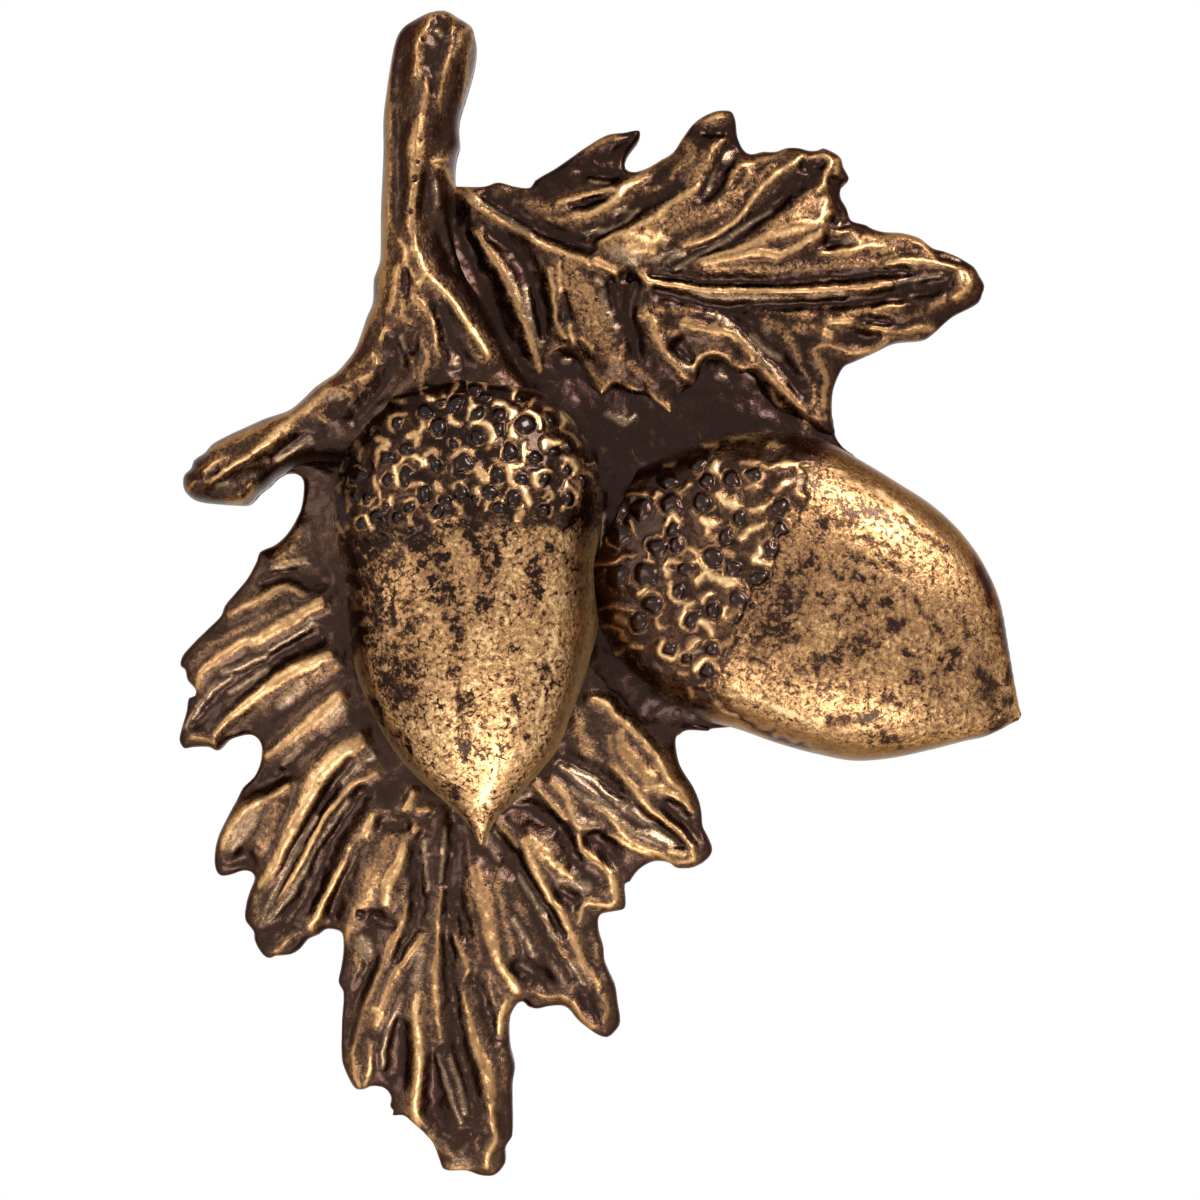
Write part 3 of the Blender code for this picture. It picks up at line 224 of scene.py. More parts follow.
UPPER_LEAF_MARKS: MarkSet = {
    Mark.BRIGHT: (
        ((2.5, 36.7, 20), (3.6, 35.6, 18)), ((7.9, 32.6, 26), (9.2, 31.7, 34), (12.1, 30.55, 24),
        (12.7, 30.2, 20)), ((13.2, 30.4, 28), (14.9, 29.6, 31)), ((10.3, 35.4, 21), (14.4, 36.5, 24),
        (14.9, 36.3, 21)), ((11.4, 34.3, 28), (12.9, 34.4, 31), (14.9, 35.7, 46), (15.8, 36.8, 46),
        (16.8, 37.6, 41), (18, 38.7, 21), (19.7, 39.6, 14)), ((13.8, 32.2, 26), (15.3, 32.8, 41),
        (16.6, 32.4, 56), (17.3, 31.7, 66), (18, 31.2, 41)), ((16.2, 33.1, 26), (17.9, 33.9, 31),
        (19.35, 35.2, 34), (21.6, 36.5, 36), (21.8, 36.9, 18)), ((20.5, 31.7, 18), (23.6, 32.8, 20),
        (25.1, 34.1, 22), (27.3, 36.9, 28), (30.4, 39.35, 24)), ((22.1, 30.2, 21), (25.5, 30.9, 28),
        (26.9, 31.2, 41), (28.3, 30.9, 34), (31.7, 32.7, 36)), ((16.9, 29.3, 28), (17.9, 28.7, 28),
        (19.9, 28.5, 24), (22.1, 28.1, 22), (26.9, 28.1, 22), (30.2, 28, 23), (37.6, 28.6, 20)),
        ((22.4, 42.4, 21), (23.6, 42.8, 36)), ((30.9, 39.1, 18), (31.7, 39.4, 20), (32.6, 39.3, 20),
        (32.8, 38.8, 22), (32.3, 37.9, 22), (32.2, 36.9, 24)), ((32.5, 35.6, 14), (32.1, 34.7, 24),
        (32, 33.6, 28)), ((31.9, 31.2, 16), (34.4, 31.4, 28), (35.7, 31.85, 31), (36.9, 31.85, 21)),
        ((37.8, 33.1, 21), (38.9, 33.05, 21), (40, 32.7, 20), (40.7, 32.1, 22)), ((37.4, 30.4, 18),
        (40.2, 30.6, 28), (43, 30.2, 18)), ((43.5, 29.6, 28), (43.6, 28.9, 34)), ((32.6, 25.5, 28),
        (34.3, 25.5, 28)), ((32.2, 24.6, 31), (32.7, 24.4, 31)), ((34.4, 23, 18), (35.7, 23.1, 18),
        (36.7, 23.4, 18), (37.6, 24, 16)), ((13, 21, 18), (13.7, 19.75, 18), (14.4, 20.3, 18)),
        ((17.9, 19.5, 16), (19.4, 18.1, 18), (19.9, 17.2, 16)), ((18.2, 24.4, 16), (18.8, 23.3, 20),
        (19.5, 22.6, 18)), ((21.4, 21.5, 16), (21.6, 22.2, 18), (22.1, 22.8, 20), (23.1, 23, 20),
        (24, 22.7, 18), (24.5, 22.1, 18), (25.3, 21.8, 18), (26.2, 21.8, 16)), ((20.4, 21.2, 20),
        (22.1, 20.1, 18)), ((12, 24.2, 18), (13, 23.4, 14)), ((30.5, 17.3, 16), (30.2, 15.1, 20)),
        # The stroke from (16.2, 31.6) is a painted highlight, the hot spot of the light on the leaf
        ((10.3, 30.4, 16), (10.4, 28, 20), (11.1, 25.4, 18), (11.3, 23.6, 16)), ((16.2, 31.6, 56),
        (17.4, 31.6, 66), (18.4, 32.1, 36)), ((21.9, 30.6, 26), (25, 31.4, 36), (28.2, 32.6, 41),
        (31, 33.4, 36), (32.6, 34.5, 26)),
    ),
    Mark.TAN: (
        ((1.2, 36.9, 26), (2.3, 36.3, 28), (3.6, 35, 28), (7.9, 32.6, 26)), ((2.3, 33.5, 26),
        (3.25, 32.8, 36), (5.3, 30, 38), (6.6, 27.4, 44), (8.25, 23, 36), (8.6, 21.7, 36),
        (9.2, 20.6, 26)), ((9.5, 29.8, 22), (10.1, 25.4, 26), (10.65, 24.4, 30)), ((9.2, 20.6, 20),
        (9.5, 22.6, 22), (10.3, 23.5, 18), (11.2, 23.3, 18), (12.1, 22.4, 18), (13.7, 19.7, 18),
        (14.9, 20.7, 21), (16, 20.2, 20), (16.8, 19.9, 16)), ((13.6, 32, 20), (14.9, 32.6, 26)),
        ((12.5, 40, 36), (13.6, 40.7, 41), (14.9, 41.1, 26)), ((21.4, 42.2, 18), (22.1, 42.5, 20)),
        ((23.7, 40.5, 28), (23.2, 39.9, 21)), ((25.5, 31.5, 31), (27, 32.2, 66), (30, 33.4, 66),
        (31.4, 33.5, 41)), ((25.1, 38.5, 28), (28.2, 39.4, 18), (29.2, 40, 16)), ((24.2, 36.8, 28),
        (24.7, 38, 31)), ((32.2, 36.9, 26), (31.7, 36.4, 26)), ((33.3, 39, 36), (33.3, 38, 26)),
        ((33.3, 32.9, 22), (34.3, 33.2, 26), (34.8, 32.5, 31), (35.4, 31.9, 31)), ((35.5, 32.6, 20),
        (36.7, 32.6, 41), (37.9, 32.8, 46), (39.2, 32.7, 36), (40.6, 31.9, 31), (41.5, 30.5, 18)),
        ((42.2, 30.4, 16), (43.6, 29.9, 31), (44.3, 29.2, 36), (44, 28.2, 36), (43, 27.6, 31)),
        ((42, 27.3, 34), (41.1, 26.8, 28)), ((36.3, 26.4, 28), (37.4, 26.8, 31), (38.5, 26.9, 26)),
        ((36.1, 25, 28), (38.7, 24.7, 31), (40, 25.1, 41), (41.3, 25, 31)), ((37.2, 24.2, 16),
        (40.2, 24.4, 16)), ((31.3, 23.2, 16), (31.9, 23.6, 20), (32.8, 23.6, 20), (34.4, 23, 18)),
        ((31.3, 23.1, 22), (32.4, 21, 36), (32.3, 19.7, 28), (32.3, 18.6, 24)), ((16.8, 25.9, 21),
        (17.9, 25.7, 31), (18.2, 24.4, 31), (20.5, 21.3, 31), (22, 20.3, 26)), ((20.5, 25.4, 41),
        (21.8, 25, 41), (24.5, 24.4, 41), (26.2, 22.8, 41), (26.2, 22, 31)), ((26.2, 22, 34),
        (27.3, 21.2, 46), (30.1, 18.6, 41), (30.6, 17.8, 31)), ((29.2, 17.8, 18), (28.2, 18.9, 20),
        (27.8, 20.1, 18)), ((30.8, 17.5, 31), (32.4, 17.6, 22)), ((17.2, 32.6, 56), (19, 32, 36)),
    ),
    Mark.FAINT: (
        ((7.5, 35.6, 40), (9, 35, 50), (10.65, 34.9, 35)), ((9.5, 34, 30), (12, 33.6, 25)),
        ((18.8, 32.9, 60), (20.5, 33.8, 80), (22.5, 34.4, 80), (25.5, 36.6, 60), (26, 38, 50)),
        ((20.6, 40.7, 50), (21.2, 39.4, 60), (20.2, 38.5, 35), (19.4, 37.4, 20)), ((22.2, 39.4, 40),
        (22.9, 38.3, 30)), ((17.4, 36.7, 30), (18.9, 36.6, 20)), ((13.2, 40.9, 30), (11.5, 39.4, 25)),
        ((26.6, 36.9, 50), (27.9, 38.6, 35)), ((29.6, 35.4, 30), (31.1, 36.3, 25)), ((30.3, 34.6, 40),
        (31.4, 34.9, 30)), ((36.3, 31.3, 30), (39, 31.7, 40), (40.3, 31.4, 30)), ((33.6, 25.9, 30),
        (35.6, 26.5, 25), (38, 25.9, 25), (40.2, 26.3, 25)), ((19.5, 24.5, 40), (20.6, 24.8, 30)),
        ((17.3, 26.4, 40), (21.4, 26.4, 40)), ((16.2, 22, 50), (17.8, 20.6, 40)), ((15.4, 23.4, 35),
        (15.2, 21.4, 35)), ((27.3, 25.5, 40), (28.6, 25, 50), (30.2, 22.3, 35)), ((26.4, 26.6, 25),
        (31, 26, 35)), ((29.6, 24.9, 35), (31.2, 25.1, 30)), ((30.4, 21.8, 25), (31.4, 19.6, 25),
        (31, 18.4, 25)), ((3.1, 36.7, 10), (5, 37, 12), (7.6, 36.6, 14)), ((33, 34, 30),
        (34.2, 33.9, 20)), ((10.4, 31, 70), (11.6, 28.4, 130), (13.1, 25.4, 150), (14.4, 23, 100)),
        ((15.8, 32, 80), (18.6, 34.4, 120), (21.4, 37, 110), (23.4, 39.8, 70)), ((24, 31.9, 70),
        (27.6, 33.3, 100), (31, 35.2, 80)), ((22.1, 29.6, 30), (25.5, 29.8, 45), (29.2, 29.7, 50),
        # The stroke from (14.2, 31.4) is a painted highlight over the same spot
        (34.5, 30.3, 50), (36.6, 30.4, 30)), ((14.2, 31.4, 50), (16.4, 32.4, 100), (18.6, 33.8, 60)),
    ),
    Mark.PAINTED_SHEEN: (
        ((2.7, 36.2, 8), (8.3, 32.6, 10), (10.3, 31.6, 8)), ((6.2, 29.4, 10), (7.7, 26.1, 8)),
        ((7.6, 28.2, 12), (8.2, 24.8, 14), (8.7, 23.5, 10)), ((0.1, 33, 8), (1, 31.3, 10),
        (2.3, 27.6, 14), (3, 26.3, 20)), ((3.6, 25.6, 20), (4.35, 24.3, 15), (5.5, 23, 10),
        (6.7, 20.8, 8)), ((12.9, 37.3, 14), (14.2, 37.2, 12)), ((15, 34.6, 20), (15.7, 34.8, 18)),
        ((12.5, 32.8, 10), (14.9, 33.3, 10), (16.8, 34.8, 10)), ((15, 31.2, 50), (16.4, 30.6, 50)),
        ((18.1, 30.6, 14), (19.9, 31.3, 10)), ((19, 30.4, 8), (20.6, 31.1, 10)), ((19.9, 29.9, 10),
        (24, 32.2, 10), (25.5, 33.3, 8), (27.7, 34.6, 8)), ((21.2, 28, 10), (22.5, 27.4, 12),
        (30.2, 27.5, 10), (33.9, 27.8, 8)), ((38.2, 28.8, 7), (41.85, 29.5, 7)), ((24.3, 39.5, 25),
        (24, 38.9, 15)), ((23.3, 38.4, 6), (22.4, 36.2, 10)), ((13.7, 27.8, 16), (15, 24.8, 12)),
        ((13.4, 29, 20), (13.7, 28.7, 15)), ((19.6, 22.8, 20), (21, 21.8, 20)), ((42.5, 31.4, 15),
        (43.6, 30.9, 12)), ((32.9, 33.6, 10), (33.5, 33.8, 10)), ((34, 32.2, 20), (34.9, 32.7, 15)),
        ((26.2, 24.4, 10), (27.4, 23.2, 14), (28.4, 22.6, 14)), ((22.5, 26.3, 10), (24, 25.7, 10),
        (27.3, 22.2, 10), (29, 20.6, 8)),
    ),
    Mark.DARK: (
        ((1.5, 34.5, 80), (5.2, 25.6, 80), (6.8, 22.6, 50)), ((4.6, 32.8, 40), (7, 30.9, 70),
        (8.4, 27.6, 60), (8.9, 24.6, 30)), ((4.4, 36, 50), (7, 34.2, 60), (10, 32.6, 50),
        (12.6, 31.6, 40)), ((13.8, 39, 70), (15.3, 39.6, 60), (16.2, 40.7, 30)), ((12.4, 38.2, 70),
        (14.5, 37.8, 60)), ((11.4, 35.2, 20), (13.7, 35.7, 20)), ((12.8, 32, 20), (15.6, 34, 45),
        (20.3, 36.9, 35)), ((24.3, 39.6, 55), (23.2, 37.4, 60), (22.4, 36, 40)), ((22.7, 41.4, 40),
        (23.6, 41.5, 35)), ((24.8, 41.4, 35), (25.6, 39.8, 20)), ((19.5, 30.6, 25), (22.6, 31.4, 40),
        (25.6, 33.1, 50), (31.6, 38, 35)), ((30.9, 38.4, 50), (32, 38.6, 30)), ((32.9, 37.3, 35),
        (33.6, 36, 60), (33.8, 34.8, 35)), ((33.1, 33.8, 40), (34, 33.7, 30)), ((32.6, 32.1, 45),
        (34, 32.2, 25)), ((18, 29.4, 20), (22, 29, 35), (28, 28.9, 40), (39, 29.8, 25)),
        ((18.4, 28, 30), (23, 26.8, 30), (28, 26.9, 40), (34, 27.1, 35), (39.5, 28, 50),
        (42.4, 28.7, 30)), ((15.6, 29.2, 35), (16.5, 29, 35), (15.9, 26.6, 45), (16.4, 24, 50),
        (16.6, 22.6, 30)), ((14.6, 28.6, 30), (15.3, 25.6, 25)), ((23.6, 26.2, 30), (26, 24.6, 30),
        (30.2, 20.6, 40)), ((28.7, 21.6, 30), (30.6, 19.4, 30)), ((20.1, 23.3, 60), (21, 22.6, 40)),
        ((35.2, 24.2, 50), (36.6, 24.4, 30)), ((35.6, 25.8, 20), (37.6, 25.6, 20)), ((42.3, 26, 40),
        (43.6, 26.8, 30)), ((42.2, 31, 25), (44.2, 30.4, 20)), ((38.6, 31.4, 20), (39.9, 31.5, 25)),
        ((10.6, 27.6, 20), (10.9, 25.8, 30)),
    ),
}
LOWER_LEAF_MARKS: MarkSet = {
    Mark.BRIGHT: (
        ((-9.4, 2.3, 48), (-13.1, 0.2, 58), (-14.6, -0.8, 48), (-16, -1.05, 48), (-19.4, -3.45, 33),
        (-19.9, -4.9, 23)), ((-8.75, -2, 38), (-10, -2.7, 53), (-12.1, -3.55, 58), (-17.1, -7.3, 33),
        (-18.3, -8.75, 23)), ((-7.9, -5.4, 58), (-9.2, -6.7, 68), (-12.5, -9.4, 43), (-14, -10.4, 28)),
        ((-6.2, -9.2, 68), (-7.1, -9.8, 88), (-9.6, -11.9, 83), (-10.2, -13.3, 68), (-13.75, -20, 43),
        (-14.6, -21.2, 33)), ((-12.3, -12.9, 28), (-16, -15.2, 43), (-17.3, -16.7, 38),
        (-17.7, -18.1, 28)), ((-4.8, -11.8, 16), (-7.1, -12.9, 18), (-7.9, -14, 20), (-9, -15.2, 22),
        (-11.5, -20, 22), (-14, -23.3, 16)), ((-5, -15.2, 23), (-7.1, -18.75, 38), (-8.1, -20.2, 38),
        (-10.4, -24.8, 33)), ((-2.5, -17.5, 18), (-3, -19.2, 48), (-3.8, -20.7, 58), (-4.1, -22.5, 43)),
        ((-7.1, -24.6, 38), (-7.5, -25.8, 23)), ((-5, -31.4, 28), (-4.6, -31.5, 38), (-4.9, -32.6, 28)),
        ((-6.9, -35.6, 16), (-6.75, -36.9, 22), (-6.4, -38, 18)), ((-5.3, -34.4, 16), (-5.6, -36.9, 20),
        (-6, -38, 18)), ((-1.5, -30.2, 28), (-1.6, -32.1, 38), (-1.35, -34.2, 43), (-1.35, -36.25, 58),
        (-1.7, -40.4, 43), (-1.5, -41.25, 28)), ((5.1, -27.2, 38), (6, -28.7, 48), (6.7, -29.9, 43)),
        ((5.8, -30.8, 23), (5.4, -32.1, 30), (5.2, -33.5, 18)), ((4.6, -39.2, 38), (4.6, -39.7, 18)),
        ((4.6, -39.6, 14), (4.7, -40.8, 20), (5, -42.3, 22), (4.4, -43.3, 33), (4.2, -44.6, 23)),
        ((1.3, -44.8, 20), (2.6, -44.9, 16)), ((-0.6, -42, 18), (0, -43.1, 20)), ((8.15, -12.7, 16),
        (10.7, -15.5, 20)), ((9.6, -12.5, 20), (10.7, -13.6, 28), (11.7, -16, 28), (12.6, -16.4, 22),
        (13.5, -16.4, 18)), ((11.85, -16.9, 20), (12.1, -17.9, 26), (14.1, -19.7, 33), (14.7, -21, 36),
        (14.9, -22.3, 22), (14.4, -23, 22), (13.1, -22.7, 22), (12.2, -22.8, 22), (12, -24, 18)),
        ((7.8, -17.1, 38), (8.9, -18.2, 53), (9.8, -19.2, 43), (11.3, -20.5, 23)), ((7.4, -17.3, 33),
        (7.8, -18.6, 43), (9.25, -21.75, 40), (10.2, -23, 36), (12.2, -27.5, 38), (13.1, -28.8, 28),
        (13.5, -29.7, 23)), ((11.3, -31, 28), (12.2, -32.3, 26), (12.9, -33, 30)), ((10.2, -26.3, 16),
        (10.6, -27, 23)), ((13, -5.7, 28), (14.1, -6.1, 38), (14.8, -7, 33), (15.9, -7.8, 33),
        (18, -10, 28), (19.4, -12.4, 30), (20.4, -13.3, 26), (21.1, -14.6, 18)), ((15, -11.3, 18),
        (17.4, -14.3, 36), (18.5, -15.4, 20), (19.6, -16.1, 23), (20.6, -17, 26), (21.3, -18.1, 22),
        (21.5, -18.9, 16)), ((17.4, -13, 36), (18.5, -13, 28), (19.4, -13.5, 26), (20.6, -14.1, 22),
        (21.3, -15, 16)), ((13.3, -14.6, 18), (14.6, -15.6, 26), (15.6, -16.9, 22), (16.5, -17.6, 20),
        (18.3, -18.5, 20), (19.3, -19.1, 20), (20.4, -19.3, 23), (21.5, -19.1, 18)), ((14.3, -16.9, 18),
        (17, -18.3, 20), (18.1, -18.7, 16)), ((19.4, -18.4, 23), (20.5, -18.5, 33)), ((-5.1, -15.2, 30),
        (-5.8, -16.7, 38), (-7, -18.2, 38)), ((-1.8, -13.4, 23), (-2.1, -14.2, 33), (-2.6, -14.7, 20)),
    ),
    Mark.TAN: (
        ((-12.9, 5.6, 20), (-11.5, 5.8, 20)), ((-10.8, 2.9, 28), (-12.5, 3.6, 38), (-14.2, 2.7, 38),
        (-17.3, 1.25, 28)), ((-20.2, -8.9, 33), (-18.6, -9.3, 33)), ((-5.2, -20.3, 58),
        (-5.8, -22.3, 68), (-7, -24, 48)), ((-2.2, -22.8, 23), (-2.8, -24.6, 40), (-3.75, -26.1, 43),
        (-5.2, -29.6, 30), (-6, -31.25, 26), (-6.5, -32.9, 24), (-6.9, -35.4, 18)), ((-1, -25.2, 20),
        (-3.1, -28.1, 40), (-4.5, -31.2, 36)), ((0.5, -21.7, 20), (0.2, -25.8, 22), (0, -29, 33),
        (0.4, -33.5, 20)), ((0.8, -23.75, 20), (2.5, -27.3, 28), (2.7, -28.3, 24)), ((3.3, -19.8, 58),
        (4, -22.3, 83), (5, -26.8, 58), (5.7, -28.3, 48)), ((3.3, -29.8, 18), (3.5, -30.6, 22)),
        ((2.3, -30, 20), (3.3, -34.2, 43), (4, -35.8, 68), (4.4, -37.3, 63), (4.6, -38.8, 38)),
        ((13.9, -30.3, 26), (14.2, -31.4, 30), (14, -32.5, 22)), ((8, -29.9, 14), (9.25, -30.5, 18),
        (10.2, -30.3, 22), (11.3, -31, 23)), ((6.5, -20.8, 16), (9.6, -26.6, 20), (10.6, -28, 18),
        (11.3, -29.3, 14)), ((15.3, -8.4, 48), (15.7, -10, 68), (16.6, -11, 78), (17.8, -12.2, 68)),
        ((5.2, -15.8, 23), (6.7, -17.7, 30)), ((-11.9, -25, 20), (-12.5, -26, 22), (-13.3, -26.9, 26)),
        ((-1.4, -14.8, 28), (-0.7, -14.7, 28)), ((0.5, -21.6, 20), (0.3, -23.2, 22)), ((6.8, -22.5, 16),
        (7.7, -23.5, 20), (10.8, -28.5, 15)), ((8.8, -23.8, 18), (9.7, -25.5, 22), (10.7, -27, 24)),
        ((-1.6, -16.4, 43), (-0.9, -16.4, 28)),
    ),
    Mark.FAINT: (
        ((-11.5, 8.2, 40), (-12.2, 6.9, 90), (-13.3, 6, 40)), ((-12.1, 2, 30), (-18.3, -1, 35)),
        ((-18.8, -1.3, 50), (-20.3, -3, 40)), ((-8.3, -3, 50), (-11, -4.4, 60), (-13, -5.8, 30)),
        ((-7.6, -7, 50), (-9.5, -8.2, 40)), ((-13.2, -14.6, 80), (-14.6, -18.4, 50)),
        ((-14.9, -22.2, 40), (-14.9, -24.2, 35)), ((-6.9, -19.5, 30), (-8, -22, 30)),
        ((-2.2, -20.8, 30), (-2.8, -22.2, 30)), ((-6.3, -26.2, 60), (-6.6, -28.4, 30)),
        ((2.6, -18.6, 60), (2.6, -21, 50), (3.6, -26.6, 30)), ((5.2, -21, 40), (6.5, -26.8, 30)),
        ((4.4, -28.3, 25), (4.8, -30.8, 14)), ((0.6, -43, 50), (1.6, -43.9, 30)), ((5.6, -35, 35),
        (5.6, -38, 30)), ((9.3, -17.2, 50), (10.6, -18.6, 50)), ((11.9, -6.9, 40), (11.9, -8.7, 60),
        (12.6, -9.9, 60), (13.4, -10.5, 30)), ((14.4, -8.8, 30), (14.8, -11, 30)), ((13.1, -25.5, 25),
        (13.5, -27.8, 25)), ((3.6, -41, 25), (3.4, -42.6, 20)), ((-3.6, -17.3, 80), (-4.7, -19.2, 120),
        # The stroke from (-17.2, -17.6) is a painted highlight on the left lobe
        (-5.9, -22.5, 90)), ((8, -16.9, 50), (8.9, -18.3, 80), (10.6, -20, 60)), ((-17.2, -17.6, 40),
        (-15.8, -16, 80), (-14.6, -14.6, 40)),
    ),
    Mark.PAINTED_SHEEN: (
        ((-13.5, 5.2, 15), (-12.2, 5.3, 16), (-10.8, 5.8, 16)), ((-10.2, 0.8, 15), (-10.8, 0, 14),
        (-13.75, -1.7, 10)), ((-14.2, -2.2, 14), (-15.8, -2.9, 20), (-17.7, -3.5, 12)),
        ((-14, -3.1, 10), (-15.4, -4.2, 12), (-17.1, -5.2, 10)), ((-16.9, -4, 10), (-18.75, -5.2, 16),
        (-21, -8.1, 14)), ((-11.25, -4.7, 40), (-12.9, -6.25, 25)), ((-7.6, -6.2, 40),
        (-8.9, -7.6, 30)), ((-11, -9.4, 15), (-12.7, -11.2, 15)), ((-15, -15.3, 50), (-16.3, -16.8, 60),
        (-17, -18, 30)), ((-5.2, -10.2, 15), (-7.7, -12.5, 10)), ((-9.8, -15.4, 8), (-11.25, -17.7, 10),
        (-13.75, -22.5, 10), (-14.6, -24.6, 8)), ((-7.1, -14.2, 12), (-9.6, -17.7, 8),
        (-11.9, -21.9, 10), (-13.1, -23.1, 12), (-14.4, -24.6, 8)), ((-6, -26, 60), (-5.5, -27, 30)),
        ((-2.7, -30.2, 10), (-4, -33.3, 14), (-4.4, -36.25, 14)), ((0.2, -35.2, 8), (1.35, -39, 12),
        (2.1, -40.8, 10)), ((1.25, -35.4, 10), (1.9, -37.3, 12), (2.5, -40, 10)), ((7, -20.5, 10),
        (9.1, -23.8, 12), (9.8, -25.5, 12)), ((11.1, -27.5, 10), (12.4, -29.3, 8)), ((6.5, -23.8, 14),
        (7.6, -25.8, 16), (8, -26.9, 12)), ((11.1, -11.5, 10), (13, -12.4, 12), (14.4, -13.7, 12),
        (17.4, -16.1, 10)), ((11.1, -13, 10), (13.7, -14.6, 14), (16.4, -16.7, 12), (18.6, -17.6, 10)),
        ((10.4, -11.2, 12), (12.6, -13.2, 12), (15.2, -15.2, 10)), ((14.9, -14, 10), (16.8, -15.2, 10),
        (18.9, -17.2, 10)), ((11.5, -14.9, 20), (12.1, -15.9, 30), (13.1, -15.8, 20)), ((10.5, -21, 40),
        (12.6, -21.3, 30)), ((4.4, -17.3, 30), (5.2, -18.3, 20)), ((5.7, -14.5, 20), (7.6, -13.7, 14)),
        ((-0.8, -18.5, 14), (-0.7, -21.5, 12)), ((-1.1, -26.3, 20), (-1.5, -29, 30)), ((18.1, -17, 25),
        (19.6, -17.7, 20)), ((-0.95, -17.5, 10), (-0.8, -21.6, 8)), ((0.9, -16.4, 10),
        (0.5, -20.6, 12)), ((4.5, -17.7, 12), (5.3, -18.9, 15)),
    ),
    Mark.DARK: (
        ((-9.6, 4.2, 60), (-12.4, 4.6, 50), (-14.2, 4, 30)), ((-9.5, -0.6, 50), (-13, -2.3, 50),
        (-16.4, -4.8, 70), (-19.6, -7.6, 60)), ((-6, -13.6, 50), (-8.4, -17.2, 70), (-10.2, -21, 80),
        (-12.3, -24.5, 60)), ((-7, -10.8, 30), (-9.4, -14.4, 30), (-11.9, -19, 30), (-13.9, -23.4, 20)),
        ((-12.3, -11.9, 50), (-14.6, -12.9, 60), (-16.2, -13.6, 30)), ((-15.8, -18.9, 70),
        (-17.3, -19.3, 30)), ((-6.2, -17.5, 30), (-8.6, -23.4, 50)), ((-4.9, -23.8, 50),
        (-3.5, -24.4, 20)), ((-1.2, -19, 50), (-1.6, -23, 50), (-3, -27.2, 20)), ((-5.3, -27.5, 50),
        (-6.4, -30.5, 50), (-7.3, -34, 40)), ((1.4, -19, 70), (1.1, -26.4, 30), (1.9, -34, 50),
        (2.8, -38, 70), (3.1, -41.4, 50)), ((-2.9, -33, 60), (-3.1, -37, 80)), ((-0.3, -35.5, 40),
        (-0.2, -39.5, 80), (0.4, -41.6, 40)), ((3.1, -28.8, 30), (4.2, -31.5, 35), (5, -34, 20)),
        ((5.2, -17.6, 40), (7, -21, 40), (9, -25.3, 30), (11.2, -28.8, 30)), ((7, -28, 60),
        (9, -29, 50)), ((10.6, -21.6, 60), (11.6, -22.6, 40)), ((10.3, -16.6, 50), (11.5, -19.2, 40)),
        ((8, -14.9, 70), (9.7, -16.2, 60)), ((13.5, -17.4, 90), (14.6, -19, 60)), ((19.3, -14.6, 40),
        (20.4, -15.6, 60), (21.4, -17.2, 30)), ((16.4, -14.9, 30), (18.4, -16.5, 40),
        (20.4, -17.8, 30)), ((10.6, -10.4, 50), (13.8, -12.2, 50), (15.2, -13.4, 30)),
        ((5.6, -40.4, 40), (5.7, -42, 30)), ((12.4, -30.4, 50), (13.1, -31.9, 35)), ((1.5, -15.2, 40),
        (1.6, -17, 55), (2, -19.2, 50), (1.8, -21.7, 45), (2.7, -25, 35)), ((-0.4, -15.6, 30),
        (-1.5, -18.4, 40), (-1.2, -19.6, 45), (-1.4, -22.5, 50), (-1.6, -24.4, 35)), ((5.8, -19.5, 20),
        (9, -23.5, 20)), ((5.5, -17.3, 35), (10.6, -25.2, 20)), ((6.4, -14.4, 60), (8, -15, 80),
        (9.2, -16, 50)), ((-4.2, -15.9, 50), (-2.6, -16, 50)),
    ),
}
# Small round holes: x, z and radius
HOLES = (
    (-6.2, -23.5, 0.4), (-1.5, 37, 0.28), (-1.85, 34.3, 0.2), (-0.95, 48.5, 0.2),
    (-1, 40.1, 0.12), (-1.3, 38.3, 0.14), (-2.4, 36.6, 0.1), (16.2, 29.1, 0.3), (33.1, 34, 0.3),
)

# Acorn stations: distance from the crown, half widths on both sides, crest
FRONT_STATIONS = (
    (0, 0, 0, 6.2), (0.7, 5.4, 5.2, 7.2), (2.2, 7.9, 7.4, 8.6), (6, 10.6, 10.1, 10.3),
    (9.4, 11.5, 11, 11), (12.5, 11.4, 11, 11.3), (15.5, 10.9, 10.5, 11.3),
    (20.5, 10.7, 10.3, 11.1), (24.3, 9.6, 9.8, 10.6), (27.7, 8.3, 8.5, 9.9),
    (30.8, 6.9, 6.8, 8.9), (33.6, 4.5, 4.3, 7.6), (35, 3.1, 2.8, 6.8), (36, 1.9, 1.8, 6.1),
    (37, 1.1, 1, 5.5), (38.4, 0.3, 0.3, 4.8),
)
SIDE_STATIONS = (
    (0, 5.5, 6, 4.9), (2, 7.6, 7.8, 6.3), (4.5, 10.2, 9.8, 7.6), (8, 12.4, 11.2, 8.6),
    (11.5, 13.8, 11.6, 9.1), (14, 13.9, 11.5, 9.2), (16.5, 13.7, 11, 9.3),
    (20.3, 13.3, 10.6, 9.3), (23.7, 12.8, 10, 9), (26.9, 11.7, 9.1, 8.5), (29.5, 10.2, 7.6, 7.9),
    (32, 8, 5.7, 7), (34.3, 4.8, 3.8, 6), (36, 2.3, 2.4, 5.2), (37.3, 0.4, 0.6, 4.4),
)
